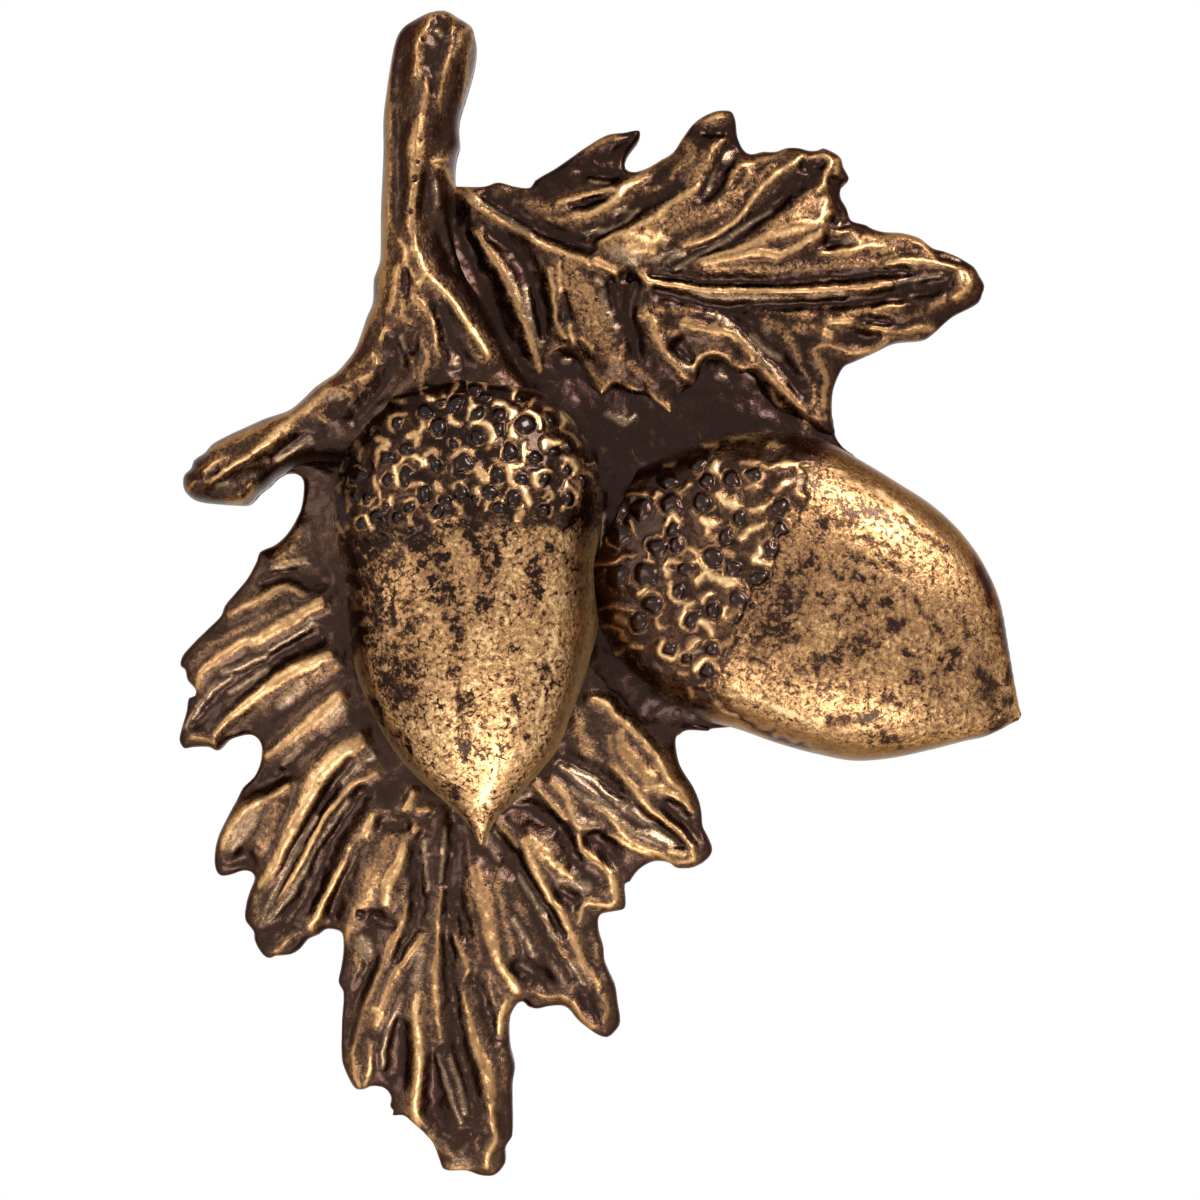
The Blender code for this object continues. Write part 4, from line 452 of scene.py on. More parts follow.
FRONT_CAP_MARKS: MarkSet = {
    Mark.BRIGHT: (
        ((-0.3, 18.85, 30), (0.3, 18.75, 20), (0.8, 19.1, 13)), ((-0.75, 16.9, 13), (-0.65, 16.4, 19),
        (-0.9, 15.9, 13)), ((1.5, 17.4, 15), (1.75, 16.9, 25), (2.3, 16.8, 13)), ((2.95, 20.4, 13),
        (3.8, 20.35, 17), (4.35, 19.8, 11)), ((3.05, 18.8, 15), (3.4, 18.2, 20), (3.05, 17.4, 13)),
        ((5.1, 18.4, 13), (6, 18.4, 19), (6.5, 17.6, 30), (6.4, 17.1, 15)), ((3.4, 16.6, 17),
        (4.5, 16.7, 25), (4.9, 15.9, 27), (4.8, 15.1, 19)), ((6.5, 16.2, 15), (6.6, 15.7, 25)),
        ((7.3, 17.5, 15), (8.2, 17.5, 21), (8.7, 16.8, 21), (8.7, 16.4, 13)), ((9.2, 18, 17),
        (9.6, 18.1, 13)), ((10.4, 17.7, 13), (10.65, 17.3, 21), (10.5, 16.6, 11)), ((9.2, 14.9, 20),
        (9.5, 15.3, 27), (10.3, 15.4, 19)), ((7.5, 14.9, 19), (7.6, 14.3, 25), (7.7, 13.7, 17)),
        ((6.4, 19.8, 13), (6.7, 19.7, 17), (6.5, 19.2, 13)), ((8.05, 18.3, 17), (8.3, 18.8, 11)),
        ((6.4, 13.1, 25), (6.6, 12.2, 20), (6.85, 11.6, 13)), ((7.3, 11.6, 17), (7.8, 10.9, 25),
        (8, 10.1, 13)), ((8.2, 12.6, 21), (8.4, 12, 19), (8.6, 11.7, 13)), ((8.6, 12.8, 15),
        (9.2, 12.9, 19), (9.6, 12.8, 13)), ((10.9, 13.9, 17), (11.4, 13.8, 23), (11.7, 12.7, 13)),
        ((10.8, 11.9, 17), (11.75, 10.9, 15), (11.85, 10.3, 13)), ((-3.05, 13.3, 17), (-2.8, 12.4, 20),
        (-2.7, 11.7, 11)), ((-1.2, 13.95, 17), (-0.55, 13.85, 19), (-0.45, 13.3, 17)), ((-5.3, 9.2, 19),
        (-4.9, 8.3, 15)), ((-3.05, 10.7, 21), (-3, 10.2, 15)), ((3.8, 11.6, 17), (3.9, 11.1, 15)),
    ),
    Mark.TAN: (
        ((1.6, 19.4, 19), (1.9, 20.1, 17), (1.6, 20.5, 13)), ((-0.9, 20.1, 23), (-0.8, 19.2, 15)),
        ((-1.8, 15.7, 27), (-1, 15.7, 33), (-1.2, 14.9, 19)), ((-3.4, 17.5, 15), (-3.6, 16.8, 19),
        (-3.2, 16.3, 13)), ((-3.1, 17.5, 21), (-2.1, 17.6, 17)), ((-5.5, 17.2, 15), (-5.6, 16.3, 13)),
        ((-4.5, 15.5, 27), (-3.6, 15.1, 23), (-4.4, 14.6, 19), (-4.45, 13.3, 13)), ((-2.9, 13.3, 19),
        (-1.95, 13.85, 19), (-1.2, 13.95, 17)), ((-0.3, 14.2, 19), (0.3, 14.5, 20), (0.65, 14.1, 15)),
        ((1.9, 14, 17), (2.7, 14.5, 25), (3.4, 14.3, 19)), ((-1.4, 11.6, 23), (-0.65, 11.7, 17)),
        ((0.4, 11.8, 25), (0.85, 11.2, 19)), ((1.95, 11.6, 13), (2.7, 11.8, 15)), ((3.7, 12.9, 35),
        (4.2, 12.4, 39), (4.5, 12.2, 30)), ((5.2, 13.75, 17), (6, 13.4, 19), (6.9, 13.2, 17),
        (7.6, 13.4, 15)), ((-2.1, 10.3, 15), (-1.4, 10.5, 18), (-1, 10.1, 13)), ((-4.7, 12.4, 21),
        (-4.2, 11.1, 21), (-4.2, 10.3, 13)), ((-6.1, 9.1, 15), (-5.3, 9.2, 19)), ((-6.85, 11.25, 12),
        (-6.85, 9.6, 12)), ((-1.7, 9.2, 19), (-1.5, 8.5, 21)), ((-0.1, 9.4, 13), (0.8, 8.3, 23)),
        ((1.95, 10.2, 17), (2.7, 9.4, 15)), ((7.3, 9.7, 23), (7.1, 9, 25)), ((4.7, 10.1, 19),
        (4.6, 9.7, 15)), ((10.5, 16.4, 11), (11.4, 15.9, 15), (11.9, 15.1, 13)), ((12.1, 13.1, 13),
        (12.9, 12.8, 13)), ((9.2, 10.9, 13), (9.55, 11.2, 17), (9.95, 10.8, 13), (9.6, 10.5, 13)),
        ((10.8, 10, 17), (10.5, 9.4, 15)), ((-8, 8.9, 19), (-7.4, 7.4, 17)), ((-9.5, 10.9, 12),
        (-8.8, 11.1, 12), (-8.4, 10.3, 12), (-8.9, 9.6, 12)), ((-9.1, 9.4, 14), (-8.6, 8.5, 12),
        (-8.4, 7.3, 14), (-7.6, 6.6, 14)), ((-8.9, 13.9, 12), (-8.7, 12.2, 12), (-8, 11.7, 12)),
    ),
    Mark.FAINT: (
        ((-6.3, 15.4, 35), (-5.8, 13.9, 30)), ((-7.6, 13.6, 25), (-7.9, 11.4, 30)), ((-2.2, 18.6, 30),
        (-3.6, 18.9, 25)), ((-8.2, 7.9, 25), (-8.9, 6.6, 30)), ((4.6, 14.6, 25), (5.2, 15.3, 20)),
        ((11.3, 12.4, 20), (12, 11.4, 25)),
    ),
    Mark.PAINTED_SHEEN: (
        ((-7.3, 8.5, 12), (-7, 8.6, 10)), ((12.4, 16.2, 12), (12.8, 15.6, 12)), ((10.9, 17.9, 10),
        (11.5, 17.1, 8)),
    ),
    Mark.DARK: (
        ((-7.2, 16.4, 30), (-6.9, 13.9, 25)), ((8.3, 15.5, 25), (8.4, 13.4, 30)), ((8.6, 10.6, 40),
        (9.7, 9.4, 50), (11, 9, 40)), ((3.1, 9.4, 30), (6, 8.8, 30)), ((-0.4, 12.2, 25),
        (0.1, 12.2, 20)), ((10.3, 12, 25), (10.2, 13.2, 25)),
    ),
}
SIDE_CAP_MARKS: MarkSet = {
    Mark.BRIGHT: (
        ((23, 13.9, 22), (23.05, 13, 28), (23.4, 12.6, 18)), ((22.3, 15.2, 18), (23.2, 15.4, 26)),
        ((27.3, 15.2, 18), (28, 15.3, 28)), ((26.8, 13.4, 13), (28.1, 13.4, 16), (28.8, 13.8, 34),
        (29.5, 13.7, 20), (30.6, 13.4, 20), (31.6, 12.8, 22), (32.3, 12.2, 20)), ((23.4, 10.9, 28),
        (24.2, 10.4, 44), (24.9, 10.2, 24)), ((26, 9.8, 18), (26.9, 9.8, 28), (27.2, 10.4, 18)),
        ((19, 8.5, 18), (19.2, 9.1, 22), (19.6, 9.4, 22), (20, 8.8, 16)), ((21.9, 9.1, 24),
        (22.5, 8.7, 40), (23.1, 8.7, 24)), ((22.4, 8.4, 26), (22.4, 7.9, 24)), ((25.1, 7.6, 28),
        (25.8, 8.2, 32), (26.6, 8.5, 20)), ((26, 5.75, 26), (26.6, 6.7, 26), (26.7, 7.4, 16)),
        ((26.4, 5.7, 21), (27.5, 5.4, 16)), ((19.2, 4.6, 16), (18.8, 5.3, 19), (19.2, 5.8, 19),
        (20.1, 5.65, 13), (21.4, 5.6, 16), (22.1, 4.8, 18)), ((22.1, 4.8, 18), (21.4, 4.1, 31)),
        ((22.1, 4.8, 18), (22.9, 4.3, 24), (24, 3.9, 46), (24.6, 3.7, 28)), ((16.9, 3.15, 21),
        (17.5, 3.4, 14)), ((19.35, 3.9, 18), (19.35, 3.15, 26), (20.1, 2.3, 18), (20.5, 2, 20),
        (20.1, 0.75, 18), (20.5, 0.2, 14)), ((20.5, 2, 18), (21.2, 2.4, 16)), ((22.1, 2.5, 26),
        (22.6, 2.95, 21)), ((23.6, 1.3, 30), (23.8, 1.9, 18)), ((21.6, 0.7, 24), (22.5, 0.4, 32),
        (22.7, -0.2, 18)), ((18.6, -1.1, 21), (18.4, -1.7, 22), (18.9, -2.2, 22), (19.6, -2.2, 16),
        (19.8, -1.7, 13)), ((21.3, -3.2, 26), (21.6, -2.7, 28), (22.1, -2.5, 16)), ((22.1, -2.6, 16),
        (22.9, -2.8, 14), (23.6, -3.7, 18)), ((28.4, 11.9, 26), (28.8, 12, 18)), ((18.2, 11.3, 22),
        (18.1, 10.8, 18)),
    ),
    Mark.TAN: (
        ((19, 13.5, 18), (19.9, 13.7, 21), (20.5, 13.15, 16)), ((24.5, 15.8, 14), (25.5, 16, 18),
        (26.2, 15.7, 14)), ((25.1, 13.9, 20), (26.2, 13.7, 28), (26.8, 13.6, 16)), ((29.7, 13.5, 16),
        (29.9, 12.9, 22)), ((25.5, 11.7, 19), (26, 11.95, 22), (26.3, 11.6, 20)), ((27.7, 11.3, 18),
        (28.4, 11.8, 26)), ((29.5, 11.5, 16), (30, 10.9, 28)), ((20.1, 11.3, 14), (21, 11.9, 16),
        (21.3, 11.5, 18), (20.6, 11.2, 14)), ((14.2, 10.9, 12), (15.3, 11, 13), (16.6, 11.3, 13),
        (17.3, 11.3, 20)), ((16.1, 8.9, 14), (16.4, 8, 18), (16.9, 7.6, 13)), ((22.1, 7.6, 13),
        (23.1, 7.5, 13)), ((27.5, 8.7, 19), (27.9, 8.5, 14)), ((20.8, 6.7, 20), (21.6, 6.3, 38),
        (21.6, 5.6, 28)), ((23.6, 6.5, 20), (24.2, 6.2, 31)), ((12.9, 5.2, 13), (14, 5.5, 15),
        (15.1, 5.75, 15), (15.65, 6.1, 15), (16.9, 6, 12)), ((25.5, 3.5, 14), (26, 3, 14)),
        ((18.4, 0.4, 26), (18.2, 1, 16)), ((20.8, -1.3, 28), (21.4, -0.75, 26), (21.7, -0.8, 14)),
        ((14, 0.4, 14), (14.5, 0.3, 18), (15.1, 0, 15), (15.8, -0.75, 18)), ((16, -1.3, 17),
        (16.9, -1.2, 15)), ((13.6, 1.7, 13), (14.7, 1.85, 15), (16.4, 1.7, 12)), ((14.2, -2.2, 18),
        (15.3, -1.85, 14)), ((19.9, -3.5, 19), (20.6, -3.6, 18)), ((20.8, -4.8, 18), (21.2, -5.5, 15)),
        ((21.6, -4.4, 14), (22.9, -4.6, 20)),
    ),
    Mark.FAINT: (
        ((18.6, 7.1, 30), (19.8, 6.6, 25)), ((23.4, 0.6, 35), (24.6, 1.6, 40)), ((22.9, -1.5, 35),
        (24.3, -0.6, 30)), ((29.3, 9.6, 35), (29, 7.4, 30)), ((27.9, 4.1, 25), (28.6, 5.6, 30)),
    ),
    Mark.PAINTED_SHEEN: (
        ((14.1, 9, 7), (14.9, 8.9, 6)), ((18.1, -2.8, 12), (18.6, -3.3, 8)), ((22.6, 14.2, 14),
        (23.2, 14.9, 10)), ((29.2, 12.1, 20), (30.2, 12.1, 15)), ((15, 1.1, 20), (15.9, 0.6, 15)),
        ((20.3, -1.8, 7), (21.7, -1.7, 7)),
    ),
    Mark.DARK: (
        ((20.75, 0.93, 38), (20.7, 0.9, 36)), ((19.25, -1.6, 30), (19.3, -1.65, 30)), ((19.5, 8.35, 26),
        (19.55, 8.3, 24)), ((22.3, -3.1, 40), (22.6, -3.2, 30)), ((23.5, 13.1, 20), (23.7, 13, 18)),
        ((28.1, 9.4, 70), (28.9, 10.2, 40)), ((27.4, 7.3, 70), (28.1, 6.6, 40)), ((26.2, 4.4, 80),
        (27, 4.1, 40)), ((26.1, 2.3, 60), (25.9, 1.6, 40)), ((22.9, 2, 55), (23, 1.7, 40)),
        ((24.6, 12.4, 45), (26, 12.8, 30)), ((24, 7.6, 40), (22.9, 6.6, 30)), ((20.6, 10.3, 50),
        (22.2, 12.2, 40)), ((20.4, 4.6, 40), (20.6, 3.4, 30)), ((17.6, 9.4, 60), (17.4, 4.7, 60)),
        ((16.9, 0.4, 50), (17.4, -0.6, 40)), ((21.5, 14.4, 40), (19, 12.3, 50)), ((20.9, 7.8, 35),
        (20.4, 7.2, 30)), ((24.9, 5.6, 35), (25.2, 4.8, 30)), ((21.8, -1.5, 20), (19.9, -2.9, 30)),
    ),
}
FRONT_NUT_MARKS: MarkSet = {
    Mark.STAIN: (
        ((2.6, 0.7, 20), (2.2, -4.8, 45), (2.7, -10.5, 25)), ((-0.75, 1.2, 25), (-0.7, 1, 23)),
        ((-2.2, -3.4, 75), (-3.2, -4.2, 45)), ((4.2, -7.3, 27), (4.3, -7.5, 23)), ((6.7, -5.4, 25),
        (6.9, -6.2, 21)), ((9.2, -2.5, 25), (9.3, -3.9, 19)), ((7, 3.2, 45), (7.5, 2.8, 35)),
        ((7.9, -8.7, 25), (8, -8.8, 21)), ((-3.6, 2.6, 65), (-4.2, 4.2, 55), (-3, 5.4, 55)),
        ((-0.6, 8, 55), (0.6, 6.6, 35), (1.6, 5.2, 55)), ((3.1, -5.4, 35), (3.6, -6.4, 25)),
        ((-4.9, -6, 45), (-4.6, -7.2, 35)), ((4.7, -2.2, 33), (5, -2.6, 25)), ((-5.6, 7.2, 75),
        (-6.6, 5.4, 55)), ((3.2, 7.4, 55), (5, 6.6, 45)), ((9.8, 6.6, 65), (11.4, 5.2, 45)),
        ((-6.2, 1.4, 45), (-6.4, -1.6, 35)), ((1.1, -12.5, 25), (2.1, -13.9, 20)), ((-1.5, -0.2, 40),
        (-1.9, 0.9, 30)), ((0.3, 3.3, 35), (1, 2.6, 30)), ((-2.5, -8.6, 35), (-1.7, -10.2, 30)),
        ((-5, 9.3, 105), (-4.6, 6, 135), (-2.4, -1, 125), (-1.8, -4.6, 95)), ((-1.6, 8.4, 95),
        (0, 5.4, 115), (1.6, 2.2, 95), (2.2, -2, 75)), ((3.4, 8.2, 75), (4.8, 5.2, 85), (4.2, 1.8, 65)),
        # The stroke from (-5.6, 8.4) is painted shade: the nut's left side is darker as the light falls
        ((8.2, 5.4, 65), (8.4, 2, 55)), ((-7.4, 3.4, 65), (-6.6, -1.4, 65)), ((-5.6, 8.4, 260),
        (-4.8, 3.4, 280), (-3.4, -2, 240), (-2, -6, 120)),
    ),
    # Painted highlights down the nut's right edge, near the cap and at the tip
    Mark.PAINTED_GLINT: (
        ((9.9, 8.4, 10), (10.7, 6.6, 20), (10.9, 5, 10)), ((10, -0.4, 6), (9.2, -5.4, 10),
        (7.6, -9.4, 7)), ((5.2, -11.4, 20), (4.3, -13, 40), (3.7, -14.6, 25)),
    ),
}
SIDE_NUT_MARKS: MarkSet = {
    Mark.DARK: (
        ((22.6, -5.2, 12), (27.6, -8.5, 14), (30.8, -9.8, 8)), ((46.4, -4.3, 10), (46, -5.8, 16),
        (46.1, -8, 12)),
    ),
    Mark.STAIN: (
        ((33.1, 6.4, 26), (38.8, 4.7, 26)), ((34.4, 7.75, 21), (37.9, 6.4, 28)), ((38.3, 9.1, 21),
        (42.3, 6.4, 20)), ((31.8, 2.5, 46), (32.2, 2.9, 36)), ((34, 2.9, 38), (34.4, 2.6, 31)),
        ((32.7, 1.2, 36), (33.3, 0.6, 31)), ((37.5, 3.8, 18), (41.4, -0.2, 21)), ((38.5, -1.7, 46),
        (39.3, -2.1, 36)), ((41, -4.9, 28), (41.6, -5.2, 26)), ((44.4, -3.3, 36), (45.6, -4.2, 36)),
        ((37.1, -5.4, 46), (37.9, -5.9, 26)), ((33.5, -4.5, 28), (34.4, -4.8, 21)), ((40.6, -8, 31),
        (41.4, -8.2, 21)), ((30.9, -1.9, 36), (31.8, -2.2, 26)), ((28.4, -1, 36), (30.4, -0.2, 31)),
        ((35.6, 9.6, 36), (36.8, 9.2, 26)), ((43, 1.5, 31), (43.6, -0.6, 26)), ((36.2, -8.6, 36),
        (38.4, -9.2, 31)), ((46.2, -5.6, 41), (46.8, -6.2, 36)), ((30.6, 6.4, 36), (31.4, 5.2, 31)),
        ((26.4, -1.6, 96), (28.6, 1.6, 116), (30.2, 5.2, 96)), ((31.6, 8.4, 76), (33.8, 9.2, 66)),
        ((30.4, -3.4, 56), (34.6, -1.2, 76), (38, 0.8, 56)), ((34.2, 1, 86), (36.6, 2.6, 76)),
        ((39.4, -3.8, 76), (42.4, -2.4, 76)), ((33, 4.8, 66), (35.4, 3.9, 56)), ((32.4, -7.4, 46),
        (36, -7, 46)), ((45.6, -4.8, 80), (46.8, -6.4, 100), (46, -8.2, 70)), ((44.6, 5.8, 40),
        (47.5, -1.6, 60), (47.6, -4, 60)),
    ),
    # Painted highlights along the nut's lower and upper shoulders
    Mark.PAINTED_GLINT: (
        ((24.8, -4.4, 16), (28, -6.3, 28), (31.6, -7.5, 28), (36, -7.8, 12)), ((32.6, 13.2, 12),
        (35.6, 11.6, 28), (39, 9.2, 28), (42.4, 5.8, 12)),
    ),
}
WEB_MARKS: MarkSet = {
    Mark.TAN: (
        ((30.8, 17.8, 16), (30.5, 16.4, 12), (30, 15.2, 16)),
    ),
    Mark.PAINTED_SHEEN: (
        ((13.8, 9.4, 15), (13.7, 7.6, 20), (13.9, 6.2, 20)), ((21.9, -6.5, 12), (23.4, -7.2, 14),
        (25.1, -8.3, 10)), ((22.4, -6.2, 10), (24.6, -7.4, 10)), ((23.4, 21.1, 14), (23.9, 20.9, 12)),
        ((10.7, 22.4, 14), (11.1, 22.4, 12)), ((14.3, 17.9, 14), (15.7, 17.3, 18), (16.4, 17.6, 10)),
    ),
    Mark.MOUND: (
        ((13.5, -2.5, 110), (17, -5, 150), (21, -7.4, 110)),
    ),
}
# Dark glossy beads of both caps: x, z and radius
FRONT_CAP_BEADS = (
    (-0.46, 17.73, 0.55), (-5.2, 16.6, 0.5), (-2.9, 16.9, 0.5), (1.9, 18.4, 0.7),
    (0.65, 18.6, 0.45), (3.5, 19.7, 0.6), (4.2, 18.9, 0.4), (-0.1, 20.2, 0.4), (7.2, 19, 0.5),
    (3.7, 17.4, 0.6), (5.5, 17.5, 0.6), (7.6, 16.8, 0.8), (9.7, 17.5, 0.6), (0.65, 16.5, 0.7),
    (3.8, 15.5, 0.55), (5.5, 16.3, 0.5), (11.2, 15.2, 0.6), (6.4, 14.5, 0.6), (9.9, 14.5, 0.5),
    (2.6, 13.4, 0.75), (0.4, 13.4, 0.65), (-3.7, 14, 0.55), (-1.95, 14.6, 0.5), (-8.3, 12.9, 0.4),
    (-6.1, 12.5, 0.65), (-2, 12.4, 0.7), (-3.4, 12.2, 0.45), (5.5, 12.6, 0.6), (7.4, 12.3, 0.5),
    (9.1, 12.2, 0.5), (11.1, 13.2, 0.45), (12.5, 12.1, 0.55), (-6.4, 10.8, 0.5),
    (-5.2, 10.8, 0.5), (-0.4, 11, 0.55), (1.2, 10.3, 0.55), (2.5, 11.1, 0.65), (3.6, 10.6, 0.4),
    (4.8, 11.2, 0.6), (6.75, 10.6, 0.6), (11.1, 10.6, 0.5), (-1.7, 9.9, 0.45), (-3.6, 10.1, 0.4),
    (-4.2, 9.2, 0.7), (0.65, 9.6, 0.5), (-7.8, 7.6, 0.42), (-5.65, 8.7, 0.4), (-2.7, 9.2, 0.4),
    (5.6, 9.8, 0.55), (-6, 17.7, 0.4), (8.5, 14.1, 0.45), (-7.2, 14.6, 0.5), (-8.9, 10.9, 0.45),
    (9.3, 9.7, 0.5), (1.9, 15, 0.45), (12.6, 14.2, 0.4), (-4.6, 18.4, 0.45), (-8.6, 9.2, 0.4),
    (-7.75, 7.6, 0.42), (-7.9, 12.7, 0.48), (-9, 10.3, 0.4),
)
SIDE_CAP_BEADS = (
    (19.6, 8.2, 0.65), (20.6, 5.05, 0.78), (20, 3.2, 0.65), (21.1, 0.85, 0.65),
    (19.1, -1.5, 0.59), (24.3, 5, 0.72), (22.8, 5.9, 0.78), (19.8, 6.9, 0.65), (22.3, -3.2, 0.59),
    (20.7, -2.3, 0.52), (18.3, 6.7, 0.78), (15.1, 7.9, 0.91), (17.4, 4.6, 0.91),
    (15.1, 4.4, 0.85), (22.6, -1.5, 0.65), (17.9, 2.2, 0.78), (21.8, 10.4, 0.78),
    (19.4, 10.4, 0.85), (17, 10, 0.91), (15, 9.7, 0.78), (28.2, 10, 0.78), (24.9, 9.1, 0.72),
    (28.3, 8, 0.78), (27.5, 6.6, 0.72), (26.4, 4.1, 0.85), (24.9, 2.4, 0.78), (26.2, 2, 0.65),
    (22.7, 1.6, 0.59), (24.3, 12.3, 0.65), (26, 12.8, 0.59), (21.6, 13.9, 0.78),
    (19.2, 12.3, 0.78), (22.3, 12.1, 0.65), (16.7, 0.7, 0.72), (23.9, 7.6, 0.65), (25, 0.9, 0.52),
)


def ease(share: np.ndarray) -> np.ndarray:
    """Return a smooth step from 0 to 1."""
    share = np.clip(share, 0.0, 1.0)
    return share * share * (3.0 - 2.0 * share)


def falloff(away: np.ndarray, width: np.ndarray | float) -> np.ndarray:
    """Return a bell that is 1 at distance 0 and falls off over a width."""
    return np.exp(-((away / width) ** 2))


def hermite(
    share: np.ndarray, here: np.ndarray, there: np.ndarray, leave: np.ndarray,
    arrive: np.ndarray, gap: np.ndarray | float = 1.0,
) -> np.ndarray:
    """Return the smooth course between two values.

    Args:
        share: how far along the course, from 0 to 1.
        here: the value at the start.
        there: the value at the end.
        leave: the slope at the start.
        arrive: the slope at the end.
        gap: the length over which the slopes count.

    Returns:
        The value at each share.
    """
    return (
        (2.0 * share**3 - 3.0 * share**2 + 1.0) * here
        + (share**3 - 2.0 * share**2 + share) * gap * leave
        + (3.0 * share**2 - 2.0 * share**3) * there
        + (share**3 - share**2) * gap * arrive
    )


def smooth_path(points: Polyline | np.ndarray, closed: bool, step: float = 0.4) -> np.ndarray:
    """Return a smooth curve through given points.

    Args:
        points: the points of the drawing.
        closed: whether the curve returns to its first point.
        step: the longest distance between two points of the result.

    Returns:
        The curve's points, one row each.
    """
    knots = np.asarray(points, dtype=float)
    if closed:
        before, start = np.roll(knots, 1, 0), knots
        end, after = np.roll(knots, -1, 0), np.roll(knots, -2, 0)
    else:
        start, end = knots[:-1], knots[1:]
        before = np.vstack([2.0 * knots[0] - knots[1], knots[:-2]])
        after = np.vstack([knots[2:], 2.0 * knots[-1] - knots[-2]])
    rows = []
    for first, here, there, last in zip(before, start, end, after):
        span = np.linalg.norm(there - here)
        count = max(1, math.ceil(span / step))
        share = (np.arange(count) / count)[:, None]
        leave = (there - first) * span / (np.linalg.norm(here - first) + span)
        arrive = (last - here) * span / (np.linalg.norm(last - there) + span)
        rows.append(hermite(share, here, there, leave, arrive))
    if not closed:
        rows.append(knots[-1:])
    return np.vstack(rows)


@dataclass
class Nearest:
    """The nearest point of a path to each place, and what the path carries there."""

    distance: np.ndarray
    point: np.ndarray


def nearest_on_path(places: np.ndarray, path: np.ndarray, closed: bool) -> Nearest:
    """Find the nearest point of a path to each place.

    Args:
        places: one (x, z) row for each place.
        path: the points of the path, with any further columns that it carries.
        closed: whether the path returns to its first point.

    Returns:
        Distance and interpolated path row for each place.
    """
    start = path if closed else path[:-1]
    step = (np.roll(path, -1, 0) if closed else path[1:]) - start
    square = np.maximum((step[:, :2] ** 2).sum(axis=1), 1e-12)
    best = np.full(len(places), np.inf)
    point = np.zeros((len(places), path.shape[1]))
    for first, along, size in zip(start, step, square):
        share = np.clip((places - first[:2]) @ along[:2] / size, 0.0, 1.0)
        candidate = first + share[:, None] * along
        distance = np.hypot(*(places - candidate[:, :2]).T)
        closer = distance < best
        best[closer] = distance[closer]
        point[closer] = candidate[closer]
    return Nearest(best, point)


def inside_path(places: np.ndarray, path: np.ndarray) -> np.ndarray:
    """Tell which places lie inside a closed path.

    Args:
        places: one (x, z) row for each place.
        path: the points of the path.

    Returns:
        True for each place inside.
    """
    x, z = places.T
    result = np.zeros(len(places), dtype=bool)
    for (x0, z0), (x1, z1) in zip(path, np.roll(path, -1, 0)):
        if z0 == z1:
            continue
        crosses = (z0 > z) != (z1 > z)
        result ^= crosses & (x < (x1 - x0) * (z - z0) / (z1 - z0) + x0)
    return result


def lumps(places: np.ndarray, size: float, seed: int, cells: int = 256) -> np.ndarray:
    """Return smooth random values from -1 to 1.

    Args:
        places: one (x, z) row for each place.
        size: how many mm across the lumps are.
        seed: the seed of the random lattice.
        cells: how many cells the lattice has each way before it repeats.

    Returns:
        One value for each place.
    """
    lattice = np.random.default_rng(seed).uniform(-1.0, 1.0, (cells + 1, cells + 1))
    spot = places / size + cells / 2.0
    cell = np.floor(spot).astype(int)
    share = ease(spot - cell)
    column, row = cell[:, 0] % cells, cell[:, 1] % cells
    low = lattice[column, row] * (1.0 - share[:, 0]) + lattice[column + 1, row] * share[:, 0]
    high = (
        lattice[column, row + 1] * (1.0 - share[:, 0])
        + lattice[column + 1, row + 1] * share[:, 0]
    )
    return low * (1.0 - share[:, 1]) + high * share[:, 1]


def wandered(places: np.ndarray, reach: float, size: float, seed: int) -> np.ndarray:
    """Move places by smooth random steps, so that no form is quite regular.

    Args:
        places: one (x, z) row for each place.
        reach: the longest step each way, in mm.
        size: how many mm across the lumps of the movement are.
        seed: the seed of the first lattice.

    Returns:
        The moved places.
    """
    step = np.stack([lumps(places, size, seed), lumps(places, size, seed + 1)], axis=1)
    return places + reach * step


@dataclass
class Surface:
    """A height over each place, and the finish there.

    Rub is how far the metal was rubbed bright, and fleck how many dark specks it has. The
    painted sheen is positive where a silvery highlight is painted on, and negative on a glossy bead.
    """

    height: np.ndarray
    rub: np.ndarray
    fleck: np.ndarray
    painted_sheen_and_gloss: np.ndarray


def lift(layer: np.ndarray, near: np.ndarray, value: np.ndarray) -> None:
    """Raise a layer to a value at some of its places, where it is lower."""
    layer[near] = np.maximum(layer[near], value)


